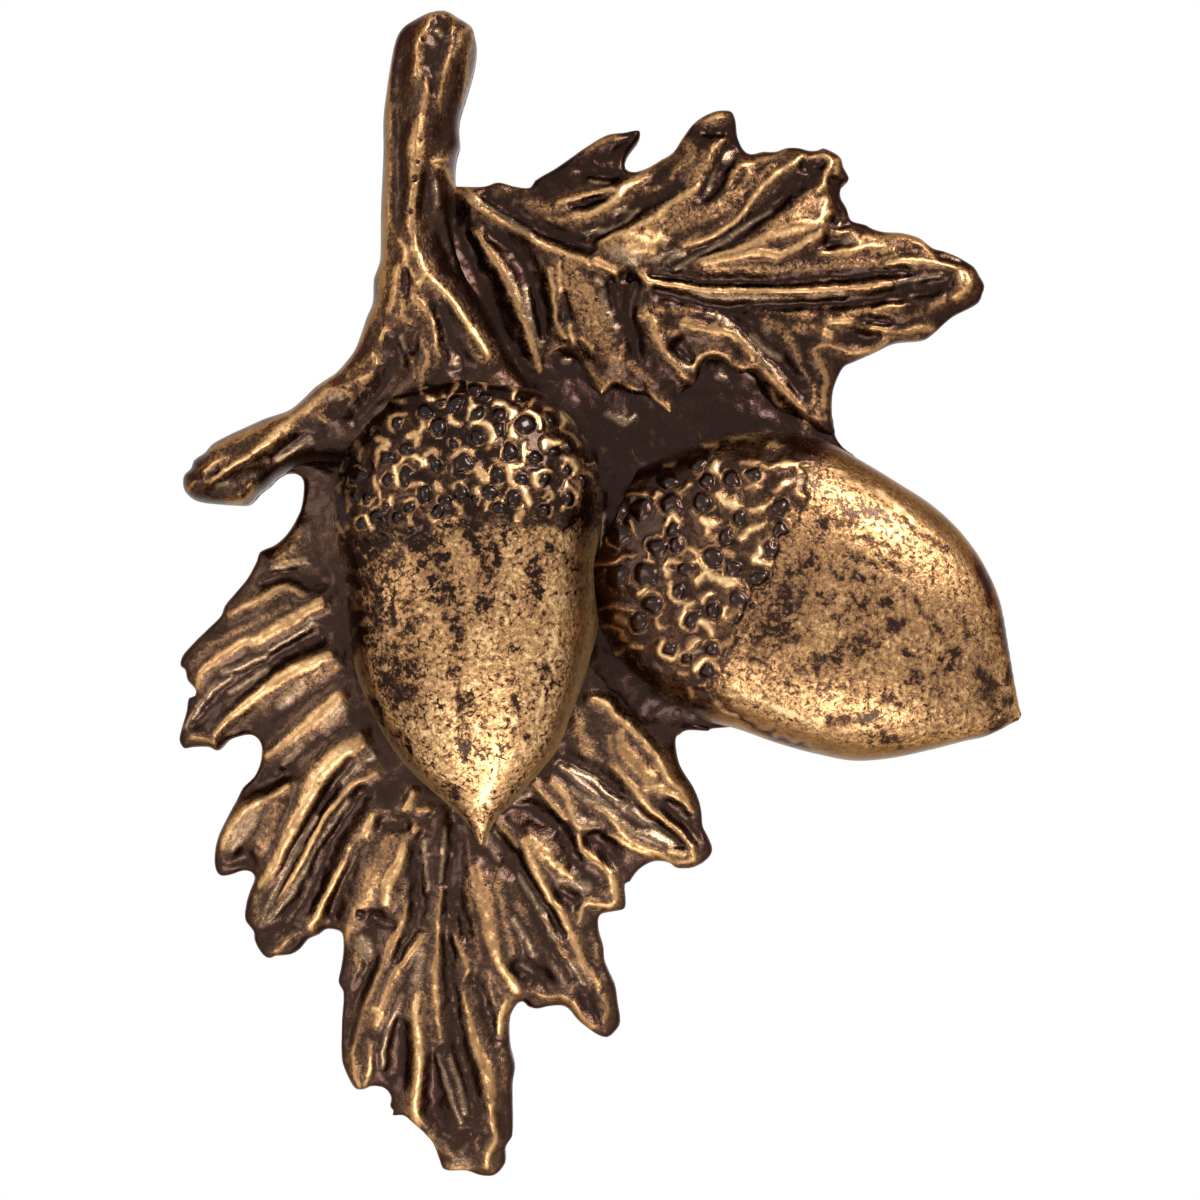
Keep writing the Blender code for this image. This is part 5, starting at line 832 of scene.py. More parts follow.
@dataclass(frozen=True)
class Carving:
    """Marks cut into a form: crests, folds beside them, and dark hollows.

    Fold is the depth of the folds, halo the rub around a crest, and reach how far both spread.
    A pair gives a width in mm and what each mm of a mark's half width adds to it.
    """

    marks: MarkSet
    holes: Spots = ()
    fold: float = 1.1
    halo: float = 0.6
    reach: float = 1.0
    margin: tuple[float, float] = (1.8, 2.0)
    foot: tuple[float, float] = (0.35, 1.8)
    softness: tuple[float, float] = (0.16, 0.45)
    core: tuple[float, float] = (0.1, 0.15)
    spread: float = 0.04
    fold_growth: float = 0.75
    fold_limit: float = 0.9
    flecks: float = 0.7
    # Rub added along the middle of a bright crest: a painted highlight
    crest_highlight: float = 0.12
    stain_rub: float = 0.12
    stain_cover: float = 0.75
    hole_depth: float = 0.45

    def near(
        self, stroke: Stroke, places: np.ndarray
    ) -> tuple[np.ndarray, np.ndarray, np.ndarray]:
        """Find the places near a stroke.

        Args:
            stroke: the drawn rows of x, z and half width.
            places: one (x, z) row for each place.

        Returns:
            The rows of the near places, and each one's half width and distance.
        """
        path = smooth_path(np.array(stroke) / STROKE_UNITS, closed=False)
        margin = self.margin[1] * path[:, 2].max() + self.margin[0]
        low, high = path[:, :2].min(0) - margin, path[:, :2].max(0) + margin
        rows = np.flatnonzero(np.all((places > low) & (places < high), axis=1))
        found = nearest_on_path(places[rows], path, closed=False)
        return rows, found.point[:, 2], found.distance

    def cut(self, places: np.ndarray) -> Surface:
        """Return the height and finish that the marks add.

        Args:
            places: one (x, z) row for each place.

        Returns:
            The added height, with the rub, fleck and sheen of the marks.
        """
        crest, depth, rub, stain, painted_sheen_and_gloss, glow, fleck = np.zeros((7, len(places)))
        fold = np.ones(len(places))
        for kind, strokes in self.marks.items():
            for stroke in strokes:
                near, half, away = self.near(stroke, places)
                rise = kind.rise(half)
                foot = self.foot[1] * half + self.foot[0]
                bump = np.cos(np.clip(away / foot, 0.0, 1.0) * math.pi / 2.0) ** 2
                soft = self.softness[0] + self.softness[1] * half
                share = ease((half + self.spread + soft - away) / (2.0 * soft))
                if kind in (Mark.DARK, Mark.STAIN):
                    lift(depth, near, -rise * bump)
                    lift(stain, near, share)
                    continue
                lift(crest, near, rise * bump)
                if kind is Mark.MOUND:
                    continue
                core = falloff(away, self.core[1] * half + self.core[0])
                # The middle of a bright crest is painted lighter, a painted highlight along the crest
                top = kind.rub + (self.crest_highlight * core if kind is Mark.BRIGHT else 0.0)
                lift(rub, near, top * share)
                if kind is Mark.FAINT:
                    lift(fleck, near, share)
                # A painted sheen stroke marks where the silvery highlight is painted
                if kind is Mark.PAINTED_SHEEN:
                    lift(painted_sheen_and_gloss, near, share)
                    continue
                broad = falloff(away, 1.3 * half + self.reach)
                fold[near] *= 1.0 - np.minimum(self.fold_growth * rise, self.fold_limit) * broad
                broad = falloff(away, 1.2 * half + 0.7 * self.reach)
                lift(glow, near, kind.rub * self.halo * broad)
                lift(fleck, near, self.flecks * broad * (1.0 - core))
        height = crest + self.fold * (1.0 - fold) - depth
        for x, z, radius in self.holes:
            share = np.exp(-(((places[:, 0] - x) ** 2 + (places[:, 1] - z) ** 2) / radius**2) ** 2)
            height = height - self.hole_depth * share
            stain = np.maximum(stain, share)
        rub = np.maximum(rub, glow) * (1.0 - self.stain_cover * stain) - self.stain_rub * stain
        return Surface(height, rub, fleck, painted_sheen_and_gloss)


@dataclass
class ReliefPiece:
    """A piece of the casting's front, raised over an outline.

    Step is the spacing of its grid, and base how far its foot is above the flat back.
    """

    name: str
    step: float
    base: float
    seed: int

    def outline(self) -> np.ndarray:
        """Return the closed outline."""
        raise NotImplementedError

    def surface(self, places: np.ndarray) -> Surface:
        """Return the surface over places that lie inside the outline."""
        raise NotImplementedError

    def build(self) -> bpy.types.Object:
        """Cut a grid to the outline, raise it, wall it down to its base and close it.

        Returns:
            The finished piece, not yet dressed.
        """
        outline = self.outline()
        mesh = bmesh.new()
        cover_with_grid(mesh, outline, self.step)
        cut_to_outline(mesh, [outline])
        layers = {name: mesh.verts.layers.float.new(name) for name in LAYERS}
        places = np.array([(vertex.co.x, vertex.co.z) for vertex in mesh.verts])
        surface = self.surface(places)
        for index, vertex in enumerate(mesh.verts):
            vertex.co.y = -surface.height[index]
            vertex[layers["rub"]] = surface.rub[index]
            vertex[layers["fleck"]] = surface.fleck[index]
            vertex[layers["painted_sheen_and_gloss"]] = surface.painted_sheen_and_gloss[index]
        mesh.normal_update()
        for vertex in mesh.verts:
            vertex[layers["wall"]] = 1.0 - abs(vertex.normal.y)
        border = [edge for edge in mesh.edges if edge.is_boundary]
        wall = bmesh.ops.extrude_edge_only(mesh, edges=border)
        foot = [item for item in wall["geom"] if isinstance(item, bmesh.types.BMVert)]
        for vertex in foot:
            vertex.co.y = -self.base
            vertex[layers["wall"]] = 1.0
        rim = [edge for edge in mesh.edges if edge.is_boundary]
        bmesh.ops.triangle_fill(mesh, edges=rim, use_beauty=False, use_dissolve=False)
        bmesh.ops.recalc_face_normals(mesh, faces=mesh.faces)
        return finish_mesh(self.name, mesh)


def cover_with_grid(mesh: bmesh.types.BMesh, outline: np.ndarray, step: float) -> None:
    """Fill a mesh with a square grid that covers an outline in the drawing plane.

    Args:
        mesh: the empty mesh.
        outline: the points to cover.
        step: the grid's spacing.
    """
    low, high = outline.min(0) - step, outline.max(0) + step
    size = high - low
    middle = (low + high) / 2.0
    bmesh.ops.create_grid(
        mesh, x_segments=math.ceil(size[0] / step), y_segments=math.ceil(size[1] / step), size=0.5
    )
    place = (
        Matrix.Translation((middle[0], 0.0, middle[1]))
        @ Matrix.Rotation(math.pi / 2.0, 4, "X")
        @ Matrix.Diagonal((size[0], size[1], 1.0, 1.0))
    )
    bmesh.ops.transform(mesh, matrix=place, verts=mesh.verts)


def onto_silhouette(places: np.ndarray, outlines: Sequence[np.ndarray]) -> np.ndarray:
    """Find the nearest point of the outlines' common silhouette.

    Args:
        places: one (x, z) row for each place.
        outlines: closed outlines that may overlap.

    Returns:
        The silhouette's nearest point for each place.
    """
    best = np.full(len(places), np.inf)
    result = places.copy()
    for outline in outlines:
        found = nearest_on_path(places, outline, closed=True)
        buried = np.zeros(len(places), dtype=bool)
        for other in outlines:
            if other is not outline:
                buried |= inside_path(found.point, other)
        closer = ~buried & (found.distance < best)
        best[closer] = found.distance[closer]
        result[closer] = found.point[closer]
    return result


def cut_to_outline(mesh: bmesh.types.BMesh, outlines: Sequence[np.ndarray]) -> None:
    """Delete the faces outside all outlines, and draw the mesh's edge onto them.

    Args:
        mesh: a grid in the drawing plane.
        outlines: the closed outlines.
    """
    centres = np.array([tuple(face.calc_center_median()) for face in mesh.faces])[:, (0, 2)]
    kept = np.zeros(len(centres), dtype=bool)
    for outline in outlines:
        kept |= inside_path(centres, outline)
    spare = [face for face, keep in zip(mesh.faces, kept) if not keep]
    while spare:
        bmesh.ops.delete(mesh, geom=spare, context="FACES")
        pinched = [
            vertex for vertex in mesh.verts
            if sum(edge.is_boundary for edge in vertex.link_edges) > 2
        ]
        weak = {face for vertex in pinched for face in vertex.link_faces}
        spare = [
            face for face in mesh.faces
            if face in weak or sum(edge.is_boundary for edge in face.edges) > 2
        ]
    border = [vertex for vertex in mesh.verts if vertex.is_boundary]
    places = np.array([(vertex.co.x, vertex.co.z) for vertex in border])
    for vertex, (x, z) in zip(border, onto_silhouette(places, outlines)):
        vertex.co.x = x
        vertex.co.z = z
    beside = {edge.other_vert(vertex) for vertex in border for edge in vertex.link_edges}
    inner = [vertex for vertex in mesh.verts if vertex in beside and not vertex.is_boundary]
    bmesh.ops.smooth_vert(
        mesh, verts=inner, factor=0.5, use_axis_x=True, use_axis_y=False, use_axis_z=True
    )


def finish_mesh(name: str, mesh: bmesh.types.BMesh) -> bpy.types.Object:
    """Turn a mesh drawn in millimetres over the back plane into a piece in metres.

    Args:
        name: the piece's name.
        mesh: the mesh, which is used up.

    Returns:
        The smooth shaded piece, linked to the scene.
    """
    place = Matrix.Translation((0.0, -STANDOFF * MM, 0.0)) @ Matrix.Scale(MM, 4)
    bmesh.ops.transform(mesh, matrix=place, verts=mesh.verts)
    data = bpy.data.meshes.new(name)
    mesh.to_mesh(data)
    mesh.free()
    data.shade_smooth()
    piece = bpy.data.objects.new(name, data)
    bpy.context.scene.collection.objects.link(piece)
    return piece


@dataclass
class Blade(ReliefPiece):
    """A thin form, such as a leaf, with carved marks and a rolled edge.

    The plain form stands edge high at its outline and rises further over its reach. Its marks
    are lower beside the outline, and reach their full height at full_marks from it.
    """

    points: Polyline
    marks: MarkSet
    edge: float
    rise: float
    reach: float
    rounding: float
    rubbed: float
    flecks: float = 0.12
    lumpy: float = 1.0
    edge_marks: float = 0.45
    full_marks: float = 1.2
    swell_height: float = 0.16
    bump_height: float = 0.07
    grit_height: float = 0.03
    # How much the rub is lowered towards the outline
    edge_darkening: float = 0.12

    def outline(self) -> np.ndarray:
        """Return the smooth closed outline."""
        return smooth_path(self.points, closed=True)

    def surface(self, places: np.ndarray) -> Surface:
        """Return the blade's height and how it was rubbed.

        Args:
            places: one (x, z) row for each place.

        Returns:
            The blade's surface there.
        """
        distance = nearest_on_path(places, self.outline(), closed=True).distance
        carved = Carving(self.marks, HOLES).cut(wandered(places, 0.07, 0.7, self.seed))
        swell = lumps(places, 2.6, self.seed + 2)
        bumps = lumps(places, 0.8, self.seed + 3)
        grit = lumps(places, 0.4, self.seed + 4)
        form = self.edge + self.rise * (1.0 - np.exp(-distance / self.reach))
        inward = ease(distance / self.full_marks)
        form = form + carved.height * (self.edge_marks + (1.0 - self.edge_marks) * inward)
        unevenness = self.swell_height * swell + self.bump_height * bumps + self.grit_height * grit
        form = form + self.lumpy * unevenness
        corner = np.clip(1.0 - distance / self.rounding, 0.0, 1.0)
        height = form - self.rounding * (1.0 - np.sqrt(1.0 - corner**2))
        rub = np.maximum(carved.rub, self.rubbed) + np.minimum(carved.rub, 0.0)
        # The rub is lowered towards the outline, so the rolled edge is darker
        rub = rub + 0.08 * swell + 0.06 * bumps - self.edge_darkening * corner
        fleck = self.flecks + (1.0 - self.flecks) * carved.fleck
        return Surface(np.maximum(height, self.base + LEAST_WALL), rub, fleck, carved.painted_sheen_and_gloss)


@dataclass
class Acorn(ReliefPiece):
    """A nut in its scaly cap, lying along the line from its crown to its tip.

    A station gives the distance from the crown, the half widths on both sides and the crest.
    The section between them falls from the crest to the floor, as full as squareness and
    fullness make it. Beyond the band, a share of the half width, the nut is darker and has
    fewer flecks.
    """

    crown: Point
    tip: Point
    cap_length: float
    rows: Sequence[tuple[float, float, float, float]]
    floor: float
    cap_marks: MarkSet
    nut_marks: MarkSet
    beads: Spots = ()
    cap_lip: float = 0.3
    cap_shadow: float = 1.4
    # How much darker the cap is painted near its crown, as shade
    crown_shade: float = 0.35
    crown_reach: float = 3.0
    band: float = 0.8
    squareness: float = 3.0
    fullness: float = 0.58
    bead_height: float = 0.5
    groove_depth: float = 0.12
    rim_height: float = 0.12

    def axes(self) -> tuple[np.ndarray, np.ndarray, np.ndarray]:
        """Return the crown, the way to the tip and the way across."""
        crown, tip = np.array(self.crown), np.array(self.tip)
        ahead = (tip - crown) / np.linalg.norm(tip - crown)
        return crown, ahead, np.array([-ahead[1], ahead[0]])

    def stations(self, where: np.ndarray) -> np.ndarray:
        """Read the stations, smooth between their rows.

        Args:
            where: distances from the crown.

        Returns:
            Both half widths and the crest for each distance.
        """
        rows = np.asarray(self.rows, dtype=float)
        key = rows[:, 0]
        slope = np.gradient(rows[:, 1:], key, axis=0)
        index = np.clip(np.searchsorted(key, where) - 1, 0, len(key) - 2)
        gap = (key[index + 1] - key[index])[:, None]
        share = np.clip((where - key[index])[:, None] / gap, 0.0, 1.0)
        here, there = rows[index, 1:], rows[index + 1, 1:]
        return hermite(share, here, there, slope[index], slope[index + 1], gap)

    def outline(self) -> np.ndarray:
        """Return the outline, down one side to the tip and back up the other."""
        crown, ahead, aside = self.axes()
        first, last = self.rows[0][0], self.rows[-1][0]
        share = (1.0 - np.cos(np.linspace(0.0, math.pi, 120))) / 2.0
        along = first + share * (last - first)
        right, left, _ = self.stations(along).T
        centre = crown + along[:, None] * ahead
        down = centre + right[:, None] * aside
        back = (centre - left[:, None] * aside)[::-1]
        return np.vstack([down, back])

    def surface(self, places: np.ndarray) -> Surface:
        """Return the dome of nut and cap.

        Args:
            places: one (x, z) row for each place.

        Returns:
            The acorn's surface there, with the scales and beads of its cap.
        """
        crown, ahead, aside = self.axes()
        along = (places - crown) @ ahead
        across = (places - crown) @ aside
        right, left, crest = self.stations(np.clip(along, self.rows[0][0], self.rows[-1][0])).T
        half = np.where(across > 0.0, right, left)
        share = np.clip(np.abs(across) / np.maximum(half, 0.05), 0.0, 1.0)
        dome = (1.0 - share**self.squareness) ** self.fullness
        cap = self.cap_share(places, along)
        scales = self.cap_surface(wandered(places, 0.2, 0.7, self.seed + 5))
        nut = self.nut_surface(places, along, ease((share - self.band) / 0.06))
        form = self.floor + (crest - self.floor) * dome
        form = form + (self.cap_lip * (1.0 - share**8) + scales.height) * cap
        form = form + nut.height * (1.0 - cap)
        near_crown = np.exp(-np.clip(along, 0.0, None) / self.crown_reach)
        # Painted shade: the cap is darker near its crown, where it meets the forms beside it
        painted_crown_shade = self.crown_shade * near_crown * np.clip(1.0 - scales.rub, 0.0, 1.0)
        rub = cap * (scales.rub - painted_crown_shade) + (1.0 - cap) * nut.rub
        fleck = cap * scales.fleck + (1.0 - cap) * nut.fleck
        return Surface(np.maximum(form, self.base + LEAST_WALL), rub, fleck, cap * scales.painted_sheen_and_gloss)

    def cap_share(self, places: np.ndarray, along: np.ndarray) -> np.ndarray:
        """Return 1 on the cap and 0 on the nut, with a ragged edge between them."""
        ragged = self.cap_length + 0.9 * lumps(places, 1.5, self.seed)
        ragged = ragged + 0.6 * lumps(places, 0.5, self.seed + 1)
        return ease((ragged - along) / 0.8 + 0.5)

    def nut_surface(self, places: np.ndarray, along: np.ndarray, rim: np.ndarray) -> Surface:
        """Return what the nut adds to the dome.

        Args:
            places: one (x, z) row for each place.
            along: each place's distance from the crown.
            rim: 1 beyond the band, and else 0.

        Returns:
            The nut's surface, with its height over the dome.
        """
        carved = Carving(self.nut_marks, halo=0.05).cut(wandered(places, 0.35, 0.8, self.seed))
        swell = lumps(places, 3.5, self.seed + 7)
        near_cap = np.exp(-np.clip(along - self.cap_length, 0.0, None) / self.cap_shadow)
        blotch = 0.5 + ease(0.5 + 1.3 * lumps(places, 0.6, self.seed + 8))
        # The carved rub brings in the nut's stains and its painted glints, the painted highlights
        rub = 0.85 + 3.0 * carved.rub * blotch + 0.08 * swell - 0.3 * near_cap - 0.2 * rim
        return Surface(carved.height + 0.05 * swell, rub, 1.0 - 0.8 * rim, np.zeros(len(places)))

    def cap_surface(self, places: np.ndarray) -> Surface:
        """Return what the cap adds to the dome.

        Args:
            places: one (x, z) row for each place.

        Returns:
            The carved gold network and the dark glossy beads, with their height over the dome.
        """
        carved = Carving(self.cap_marks, fold=0.35, halo=0.55, reach=0.55).cut(places)
        height = 0.75 * carved.height + 0.12 * lumps(places, 0.9, self.seed + 9)
        ground = 0.3 + 0.15 * lumps(places, 0.9, self.seed + 10)
        shade, rims = np.zeros((2, len(places)))
        for x, z, radius in self.beads:
            share = np.hypot(places[:, 0] - x, places[:, 1] - z) / radius
            bead = np.sqrt(np.clip(1.0 - (share / 1.02) ** 2, 0.0, 1.0))
            groove = falloff(share - 1.12, 0.2)
            height = np.maximum(height, self.bead_height * bead) - self.groove_depth * groove
            shade = np.maximum(shade, np.exp(-((share / 0.9) ** 6)))
            rims = np.maximum(rims, falloff(radius * (share - 1.3), 0.13))
        patchy = ease(0.5 + 1.6 * lumps(places, 0.8, self.seed + 12))
        ground = np.maximum(ground, 0.85 * rims * patchy)
        height = height + self.rim_height * rims * patchy
        rub = np.maximum(ground * (1.0 - shade), 1.2 * carved.rub * (1.0 - 0.75 * shade))
        return Surface(height, rub, np.full(len(places), 0.3), carved.painted_sheen_and_gloss - shade)


@dataclass
class BackPlate:
    """The flat back, which joins all the forms within their common silhouette.

    Step is the spacing of its grid, and edge how far its rear edge is eased.
    """

    name: str
    outlines: Sequence[np.ndarray]
    step: float = 0.4
    thickness: float = 1.0
    edge: float = 0.25

    def build(self) -> bpy.types.Object:
        """Cut a plate to the silhouette, and ease its rear edge.

        Returns:
            The finished piece, not yet dressed.
        """
        mesh = bmesh.new()
        cover_with_grid(mesh, np.vstack(self.outlines), self.step)
        cut_to_outline(mesh, self.outlines)
        rim = [edge for edge in mesh.edges if edge.is_boundary]
        faces = mesh.faces[:]
        made = bmesh.ops.extrude_face_region(mesh, geom=faces, use_keep_orig=True)
        front = [item for item in made["geom"] if isinstance(item, bmesh.types.BMVert)]
        bmesh.ops.translate(mesh, vec=(0.0, -self.thickness, 0.0), verts=front)
        bmesh.ops.bevel(
            mesh, geom=rim, offset=self.edge, segments=2, profile=0.5, affect="EDGES", material=-1
        )
        bmesh.ops.recalc_face_normals(mesh, faces=mesh.faces)
        return finish_mesh(self.name, mesh)


@dataclass
class Post:
    """One screw post on the back, turned with a blind threaded hole."""

    name: str
    centre: Point
    foot_radius: float = 4.0
    root_radius: float = 4.4
    chamfer: float = 0.25
    flare: float = 1.2
    buried: float = 0.6
    hole_radius: float = 1.75
    hole_depth: float = 10.5
    hole_mouth: float = 0.45
    drill_tip: float = 0.9
    thread_pitch: float = 0.8
    thread_depth: float = 0.28
    thread_margin: float = 0.3
    sides: int = 64
    merge: float = 0.002
    sharp_angle: float = 35.0

    def build(self) -> bpy.types.Object:
        """Spin the profile about the post's axis and place it on the drawer front.

        Returns:
            The finished piece, not yet dressed.
        """
        mesh = bmesh.new()
        points = [mesh.verts.new((radius, 0.0, depth)) for radius, depth in self.profile()]
        edges = [mesh.edges.new(pair) for pair in zip(points, points[1:])]
        bmesh.ops.spin(
            mesh, geom=points + edges, cent=(0.0, 0.0, 0.0), axis=(0.0, 0.0, 1.0),
            dvec=(0.0, 0.0, 0.0), angle=2.0 * math.pi, steps=self.sides, use_merge=True,
        )
        bmesh.ops.remove_doubles(mesh, verts=mesh.verts, dist=self.merge)
        bmesh.ops.recalc_face_normals(mesh, faces=mesh.faces)
        turn = Matrix.Rotation(math.pi / 2.0, 4, "X")
        place = Matrix.Translation((self.centre[0], STANDOFF, self.centre[1])) @ turn
        bmesh.ops.transform(mesh, matrix=place, verts=mesh.verts)
        piece = finish_mesh(self.name, mesh)
        piece.data.set_sharp_from_angle(angle=math.radians(self.sharp_angle))
        return piece

    def profile(self) -> list[Point]:
        """Return radius and depth along the profile, from the hole's floor to the root."""
        return [
            (0.0, self.hole_depth + self.drill_tip),
            (self.hole_radius, self.hole_depth),
            *self.thread(),
            (self.hole_radius + self.hole_mouth, 0.0),
            (self.foot_radius - self.chamfer, 0.0),
            (self.foot_radius, self.chamfer),
            (self.root_radius, STANDOFF - self.flare),
            (self.root_radius, STANDOFF + self.buried),
            (0.0, STANDOFF + self.buried),
        ]

    def thread(self) -> list[Point]:
        """Return the ridges of the thread, from the floor of the hole to its mouth."""
        turns = int((self.hole_depth - 2.0 * self.thread_margin) / self.thread_pitch)
        crest = self.hole_radius + self.thread_depth
        points = []
        for turn in range(turns):
            start = self.hole_depth - self.thread_margin - turn * self.thread_pitch
            points += [(self.hole_radius, start), (crest, start - self.thread_pitch / 2.0)]
        return points


class Graph:
    """A node tree, with one way to add any node."""

    def __init__(self, tree: bpy.types.NodeTree) -> None:
        """Start from an existing tree."""
        self.tree = tree

    def node(
        self, kind: str, settings: dict[str, object] | None = None,
        inputs: dict[str | int, object] | None = None, output: str | int = 0,
    ) -> "Value":
        """Add a node.

        Args:
            kind: the node's type, such as ShaderNodeTexNoise.
            settings: the node's own settings, set first; stops fills a colour ramp.
            inputs: a value, a colour or another Value for each socket.
            output: the output socket to return.

        Returns:
            The chosen output.
        """
        node = self.tree.nodes.new(kind)
        for key, value in (settings or {}).items():
            if key == "stops":
                fill_ramp(node.color_ramp, value)
            else:
                setattr(node, key, value)
        for key, value in (inputs or {}).items():
            if isinstance(value, Value):
                self.tree.links.new(value.socket, node.inputs[key])
            else:
                node.inputs[key].default_value = value
        return Value(self, node.outputs[output])


def fill_ramp(ramp: bpy.types.ColorRamp, stops: Sequence[tuple[float, Colour]]) -> None:
    """Give a colour ramp its stops, each a position and a colour."""
    while len(ramp.elements) > 1:
        ramp.elements.remove(ramp.elements[-1])
    ramp.elements[0].position, ramp.elements[0].color = stops[0]
    for position, tone in stops[1:]:
        ramp.elements.new(position).color = tone


class Value:
    """An output socket that can be used in sums."""

    def __init__(self, graph: Graph, socket: bpy.types.NodeSocket) -> None:
        """Wrap one output socket of a graph."""
        self.graph = graph
        self.socket = socket

    def math(self, operation: str, first: object, second: object) -> "Value":
        """Add a Math node."""
        settings = {"operation": operation}
        return self.graph.node("ShaderNodeMath", settings, {0: first, 1: second})

    def __add__(self, other: object) -> "Value":
        """Return self + other."""
        return self.math("ADD", self, other)

    __radd__ = __add__

    def __sub__(self, other: object) -> "Value":
        """Return self - other."""
        return self.math("SUBTRACT", self, other)

    def __rsub__(self, other: object) -> "Value":
        """Return other - self."""
        return self.math("SUBTRACT", other, self)

    def __mul__(self, other: object) -> "Value":
        """Return self * other."""
        return self.math("MULTIPLY", self, other)

    __rmul__ = __mul__

    def output(self, name: str) -> "Value":
        """Return another output of the same node."""
        return Value(self.graph, self.socket.node.outputs[name])

    def step(self, low: float, high: float) -> "Value":
        """Return a smooth step from 0 at low to 1 at high."""
        settings = {"interpolation_type": "SMOOTHSTEP"}
        inputs = {"Value": self, "From Min": low, "From Max": high}
        return self.graph.node("ShaderNodeMapRange", settings, inputs)


@dataclass(frozen=True)
class Patina:
    """Antique brass: dark lacquer left in the hollows, bare metal where it was rubbed.

    Scales are features to the metre. The metal is bare where its wear is above the threshold,
    and softness is how far the change from lacquer to metal spreads on both sides of it.
    """

    name: str
    flecks: float = 1.0
    clumps: float = 1.0
    grain: float = 1.0
    grain_scale: float = 2900.0
    clump_scale: float = 330.0
    fine_scale: float = 6500.0
    spot_scale: float = 1100.0
    worn_all_over: float = 0.0
    threshold: float = 0.5
    softness: float = 0.2
    bump_depth: float = 0.00005
    dark: Colour = colour(38, 24, 18)
    brown: Colour = colour(88, 62, 43)
    brass: Colour = colour(152, 114, 76)
    bright: Colour = colour(186, 144, 98)
    # Top tone: polished brass, also the colour of the painted highlights
    buffed_brass_and_highlight: Colour = colour(222, 188, 138)
    # Colour of the painted sheen, a highlight painted on the dark lacquer
    painted_highlight_colour: Colour = colour(168, 138, 108)
    wall: Colour = colour(138, 110, 72)
    glint: Colour = (0.45, 0.33, 0.24, 1.0)

    def noise(
        self, graph: Graph, where: Value, scale: float, detail: float, distortion: float = 0.0
    ) -> Value:
        """Add a noise field.

        Args:
            graph: the material's graph.
            where: the coordinates.
            scale: features to the metre.
            detail: how many finer layers it has.
            distortion: how far it is warped.

        Returns:
            Values from about -0.5 to 0.5.
        """
        inputs = {
            "Vector": where, "Scale": scale, "Detail": detail, "Roughness": 0.6,
            "Distortion": distortion,
        }
        return graph.node("ShaderNodeTexNoise", None, inputs) - 0.5

    def dashes(self, graph: Graph, where: Value, turn: float, scale: float) -> Value:
        """Add short scratches that all run one way.

        Args:
            graph: the material's graph.
            where: the coordinates.
            turn: which way they run, in radians.
            scale: scratches to the metre.

        Returns:
            1 on a scratch and 0 beside it.
        """
        mapping = graph.node(
            "ShaderNodeMapping", {"vector_type": "TEXTURE"},
            {"Vector": where, "Rotation": (0.0, turn, 0.0), "Scale": (2.8, 2.8, 1.0)},
        )
        return self.noise(graph, mapping, scale, 1.0).step(0.09, 0.15)

    def marks(self, graph: Graph, where: Value) -> Value:
        """Add scratches in three directions, and spots.

        Args:
            graph: the material's graph.
            where: the coordinates.

        Returns:
            How dark the marks are.
        """
        first, *others = (
            self.dashes(graph, where, turn, scale)
            for turn, scale in ((0.5, 3000.0), (1.5, 2400.0), (2.5, 3300.0))
        )
        scratches = sum(others, first)
        spots = self.noise(graph, where, self.spot_scale, 3.0, 1.5).step(0.08, 0.16)
        return scratches * 0.55 + spots

    def tones(self, graph: Graph, worn: Value) -> Value:
        """Add the colours from dark lacquer to polished brass.

        Args:
            graph: the material's graph.
            worn: how far the metal is worn.

        Returns:
            The colour.
        """
        stops = (
            (0.0, self.dark), (0.22, self.brown), (0.55, self.brass), (0.85, self.bright),
            (1.0, self.buffed_brass_and_highlight),
        )
        low = self.threshold - 1.7 * self.softness
        high = self.threshold + 3.4 * self.softness
        return graph.node("ShaderNodeValToRGB", {"stops": stops}, {"Fac": worn.step(low, high)})

    def mixed(self, graph: Graph, factor: Value, plain: Value, other: Colour) -> Value:
        """Return a colour blended into another where the factor is 1."""
        settings = {"data_type": "RGBA", "clamp_factor": True}
        return graph.node("ShaderNodeMix", settings, {"Factor": factor, 6: plain, 7: other}, 2)

    def material(self) -> bpy.types.Material:
        """Build the material from the rub, fleck, sheen and wall of the mesh.

        Returns:
            The finished material.
        """
        material = bpy.data.materials.new(self.name)
        material.use_nodes = True
        graph = Graph(material.node_tree)
        shader = material.node_tree.nodes["Principled BSDF"]
        where = graph.node("ShaderNodeTexCoord", None, None, "Object")
        rub, fleck, painted_sheen_and_gloss, wall = (
            graph.node("ShaderNodeAttribute", {"attribute_name": name}, None, "Fac")
            for name in LAYERS
        )
        clump = self.noise(graph, where, self.clump_scale, 3.0)
        grain = self.noise(graph, where, self.grain_scale, 4.0)
        fine = self.noise(graph, where, self.fine_scale, 2.0)
        speckle = (grain * 1.7 + fine * 0.7) * (0.18 + fleck * 0.82) * self.grain
        worn = rub + self.worn_all_over + clump * (0.7 * self.clumps) + speckle
        marks = self.marks(graph, where) * fleck * self.flecks
        worn = worn - marks * (0.36 + clump * 1.9)
        bare = worn.step(self.threshold - self.softness, self.threshold + self.softness)
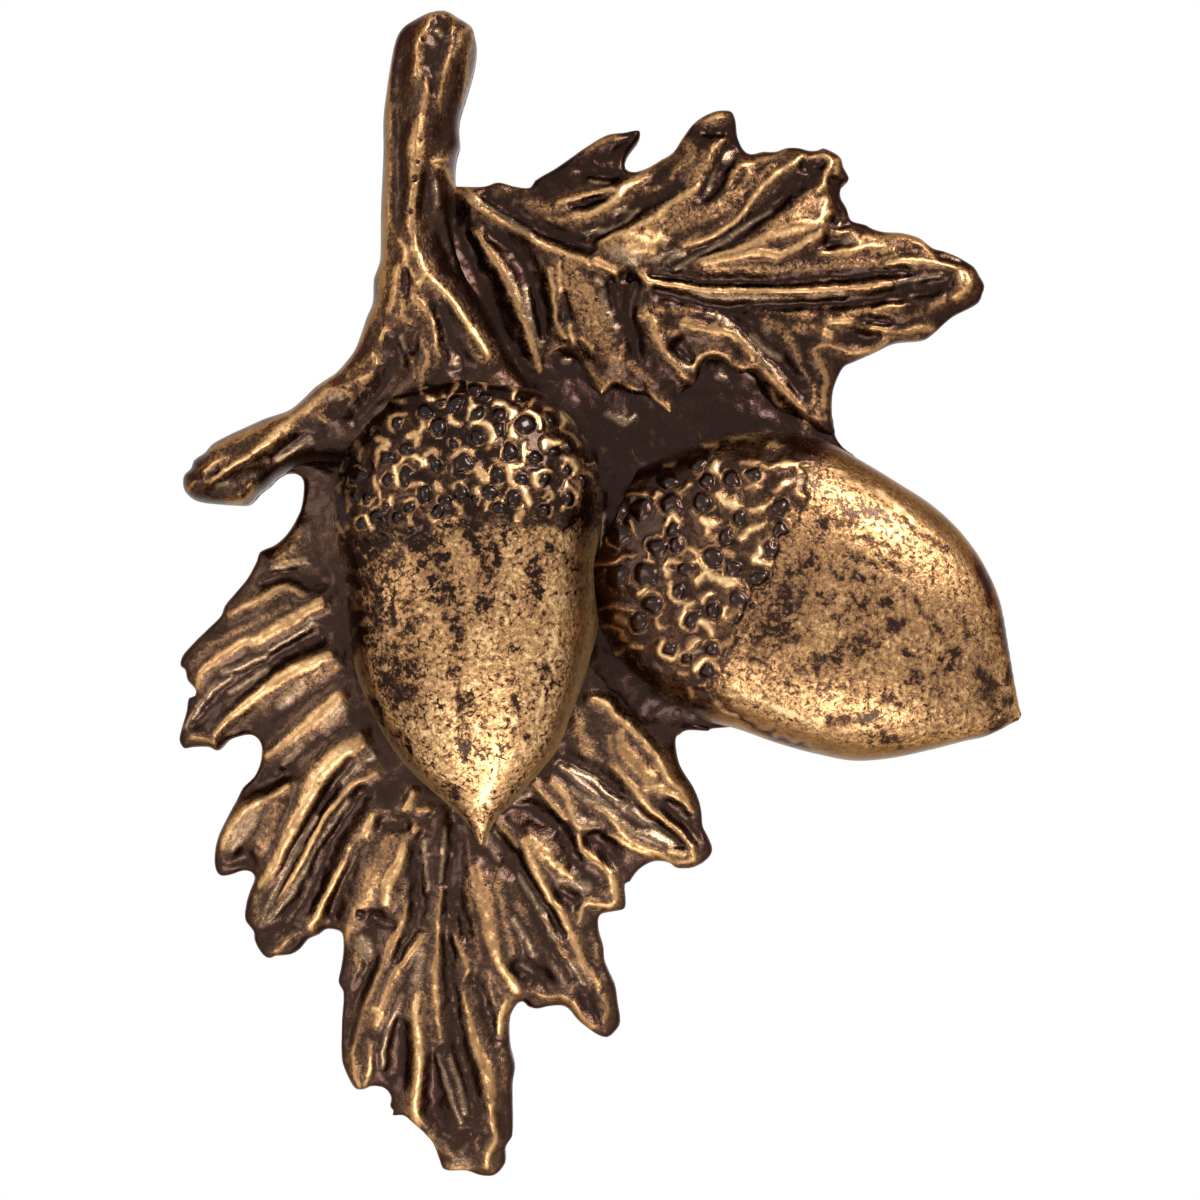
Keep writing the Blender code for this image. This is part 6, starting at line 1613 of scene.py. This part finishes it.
        # Painted highlight: the colour is blended towards the silvery colour where the painted sheen is
        painted_highlight_share = painted_sheen_and_gloss * (0.55 + grain * 1.4)
        toned = self.mixed(graph, painted_highlight_share, self.tones(graph, worn), self.painted_highlight_colour)
        gloss = painted_sheen_and_gloss.math("MAXIMUM", painted_sheen_and_gloss * -1.0, 0.0)
        relief = bare * 0.6 + grain * 1.2 + fine * 0.8
        bump = {"Height": relief, "Distance": self.bump_depth, "Strength": 0.7}
        sockets = {
            "Base Color": self.mixed(graph, wall.step(0.45, 0.85) * bare * 0.8, toned, self.wall),
            "Roughness": 0.26 + bare * 0.08 + grain * 0.12 - gloss * 0.1,
            "Coat Weight": (0.1 - bare * 0.09 + gloss * 0.25) * (1.0 - wall.step(0.2, 0.7) * 0.9),
            "Normal": graph.node("ShaderNodeBump", None, bump),
            "Metallic": 1.0 - wall.step(0.4, 0.85) * 0.7,
        }
        for name, value in sockets.items():
            material.node_tree.links.new(value.socket, shader.inputs[name])
        shader.inputs["Specular Tint"].default_value = self.glint
        shader.inputs["Coat Roughness"].default_value = 0.08
        return material


@dataclass
class Casting:
    """The whole pull, in the forms that were modelled on one casting."""

    lower_finish: Patina = Patina(
        "lower_leaf_brass", flecks=0.6, clumps=0.8, grain=0.65, softness=0.26,
        dark=colour(56, 38, 30), brown=colour(94, 70, 53),
    )
    upper_finish: Patina = Patina(
        "upper_leaf_brass", flecks=0.6, clumps=0.85, grain=0.7, softness=0.26,
        dark=colour(42, 26, 20),
    )
    nut_finish: Patina = Patina(
        "nut_brass", flecks=1.0, clumps=0.8, grain_scale=2500.0, clump_scale=520.0,
    )
    side_finish: Patina = Patina(
        "side_nut_brass", flecks=0.9, clumps=0.8, grain_scale=2500.0, clump_scale=480.0,
        softness=0.25, dark=colour(50, 32, 25), brown=colour(90, 64, 45),
        brass=colour(144, 107, 71),
    )
    twig_finish: Patina = Patina(
        "twig_brass", flecks=0.5, clumps=0.9, softness=0.26, dark=colour(50, 34, 27),
    )
    web_finish: Patina = Patina("web_patina", flecks=0.3, clumps=0.45, dark=colour(44, 29, 24))
    back_finish: Patina = Patina("back_brass", flecks=0.5, clumps=1.0, worn_all_over=0.5)
    post_spacing: float = 64.0

    def pieces(self) -> list[tuple[ReliefPiece, Patina]]:
        """Return every relief piece with its finish, from the back to the front."""
        web = Blade(
            name="web", step=0.2, base=0.8, seed=11, points=WEB_OUTLINE, marks=WEB_MARKS,
            edge=1.9, rise=1.5, reach=2.5, rounding=0.5, rubbed=0.12, flecks=0.1, lumpy=1.3,
        )
        lower_leaf = Blade(
            name="lower_leaf", step=0.15, base=0.6, seed=21, points=LOWER_LEAF_OUTLINE,
            marks=LOWER_LEAF_MARKS, edge=2.2, rise=2.0, reach=4.0, rounding=0.5, rubbed=0.14,
        )
        upper_leaf = Blade(
            name="upper_leaf", step=0.15, base=0.6, seed=31, points=UPPER_LEAF_OUTLINE,
            marks=UPPER_LEAF_MARKS, edge=2.2, rise=2.2, reach=4.0, rounding=0.5, rubbed=0.15,
        )
        twig = Blade(
            name="twig", step=0.15, base=0.5, seed=41, points=TWIG_OUTLINE, marks=TWIG_MARKS,
            edge=3.3, rise=3.2, reach=1.6, rounding=0.9, rubbed=0.2,
        )
        side_acorn = Acorn(
            name="side_acorn", step=0.15, base=0.7, seed=51, crown=(14.6, 8.8),
            tip=(48.3, -7.1), cap_length=13.0, rows=SIDE_STATIONS, floor=2.0,
            cap_marks=SIDE_CAP_MARKS, nut_marks=SIDE_NUT_MARKS, beads=SIDE_CAP_BEADS,
        )
        front_acorn = Acorn(
            name="front_acorn", step=0.15, base=0.7, seed=61, crown=(2.0, 20.6),
            tip=(3.8, -17.5), cap_length=12.3, rows=FRONT_STATIONS, floor=2.1,
            cap_marks=FRONT_CAP_MARKS, nut_marks=FRONT_NUT_MARKS, beads=FRONT_CAP_BEADS,
        )
        return [
            (web, self.web_finish),
            (lower_leaf, self.lower_finish),
            (upper_leaf, self.upper_finish),
            (twig, self.twig_finish),
            (side_acorn, self.side_finish),
            (front_acorn, self.nut_finish),
        ]

    def dressed(self, piece: bpy.types.Object, finish: Patina) -> bpy.types.Object:
        """Give a piece its finish and report it.

        Args:
            piece: the piece.
            finish: its finish.

        Returns:
            The same piece.
        """
        piece.data.materials.append(finish.material())
        LOG.info("%s: %d faces", piece.name, len(piece.data.polygons))
        return piece

    def build(self) -> None:
        """Build, dress and place every piece, and hide the plain solid that they stand for."""
        forms = self.pieces()
        made = [self.dressed(form.build(), finish) for form, finish in forms]
        plate = BackPlate("back_plate", [form.outline() for form, _ in forms])
        made.append(self.dressed(plate.build(), self.back_finish))
        for name, side in (("upper_post", 0.5), ("lower_post", -0.5)):
            post = Post(name, (0.0, side * self.post_spacing))
            made.append(self.dressed(post.build(), self.back_finish))
        for item in made:
            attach(item, BODY)
            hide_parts(CASTING)


@dataclass
class Studio:
    """Camera, soft lamps, pale floor and white surroundings."""

    centre: tuple[float, float] = (0.01362, 0.0025)
    frame_width: float = 0.1009
    lens: float = 85.0
    sensor: float = 36.0
    floor_drop: float = 0.3
    floor_radius: float = 0.9
    floor_glow: float = 0.45
    floor_colour: Colour = (0.8, 0.8, 0.8, 1.0)
    white: Colour = (1.0, 1.0, 1.0, 1.0)
    ambient: float = 0.65
    seen_white: float = 0.35

    def camera(self) -> None:
        """Look straight at the front, with the photograph's frame."""
        data = bpy.data.cameras.new("camera")
        data.lens = self.lens
        data.sensor_width = self.sensor
        data.clip_start = 0.001
        distance = self.frame_width * self.lens / self.sensor
        camera = bpy.data.objects.new("camera", data)
        camera.location = (self.centre[0], -STANDOFF * MM - distance, self.centre[1])
        camera.rotation_euler = (math.pi / 2.0, 0.0, 0.0)
        bpy.context.scene.collection.objects.link(camera)
        bpy.context.scene.camera = camera

    def lamp(self, name: str, place: tuple[float, float, float], size: float, power: float) -> None:
        """Add a square soft lamp that faces the pull.

        Args:
            name: the lamp's name.
            place: where it stands, in metres.
            size: the length of its sides, in metres.
            power: its power in watts.
        """
        data = bpy.data.lights.new(name, "AREA")
        data.size = size
        data.energy = power
        lamp = bpy.data.objects.new(name, data)
        lamp.location = place
        target = Vector((self.centre[0], -STANDOFF * MM, self.centre[1]))
        lamp.rotation_euler = (target - lamp.location).to_track_quat("-Z", "Y").to_euler()
        lamp.visible_camera = False
        bpy.context.scene.collection.objects.link(lamp)

    def floor(self) -> None:
        """Lay a pale floor below the pull, out of the front view."""
        mesh = bmesh.new()
        bmesh.ops.create_circle(mesh, cap_ends=True, segments=64, radius=self.floor_radius)
        bmesh.ops.translate(mesh, vec=(0.0, 0.0, -self.floor_drop), verts=mesh.verts)
        data = bpy.data.meshes.new("floor")
        mesh.to_mesh(data)
        mesh.free()
        floor = bpy.data.objects.new("floor", data)
        bpy.context.scene.collection.objects.link(floor)
        material = bpy.data.materials.new("pale_floor")
        material.use_nodes = True
        shader = material.node_tree.nodes["Principled BSDF"]
        shader.inputs["Base Color"].default_value = self.floor_colour
        shader.inputs["Roughness"].default_value = 0.7
        shader.inputs["Emission Strength"].default_value = 1.0
        glow = self.seen(Graph(material.node_tree)) * self.floor_glow
        material.node_tree.links.new(glow.socket, shader.inputs["Emission Color"])
        data.materials.append(material)

    def seen(self, graph: Graph) -> Value:
        """Return 1 where a thing is seen directly, mirrored or through glass, and else 0."""
        ray = graph.node("ShaderNodeLightPath")
        mirrored = ray.output("Is Glossy Ray") + ray.output("Is Transmission Ray")
        return ray.output("Is Camera Ray") + mirrored

    def world(self) -> None:
        """Surround the pull with white for the eye and for reflections."""
        world = bpy.data.worlds.new("studio")
        world.use_nodes = True
        bpy.context.scene.world = world
        graph = Graph(world.node_tree)
        background = world.node_tree.nodes["Background"]
        strength = self.seen(graph) * self.seen_white + self.ambient
        background.inputs["Color"].default_value = self.white
        world.node_tree.links.new(strength.socket, background.inputs["Strength"])

    def build(self) -> None:
        """Set up the studio."""
        self.camera()
        self.lamp("low_window", place=(0.06, -0.24, -0.24), size=0.14, power=0.55)
        self.lamp("high_window", place=(0.24, -0.2, 0.28), size=0.14, power=1.7)
        self.lamp("left_fill", place=(-0.35, -0.3, 0.1), size=0.25, power=0.6)
        self.floor()
        self.world()
        bpy.context.scene.view_settings.view_transform = "Standard"


def main() -> None:
    """Build the studio and the pull."""
    logging.basicConfig(level=logging.INFO)
    Studio().build()
    Casting().build()


if __name__ == "__main__":
    main()
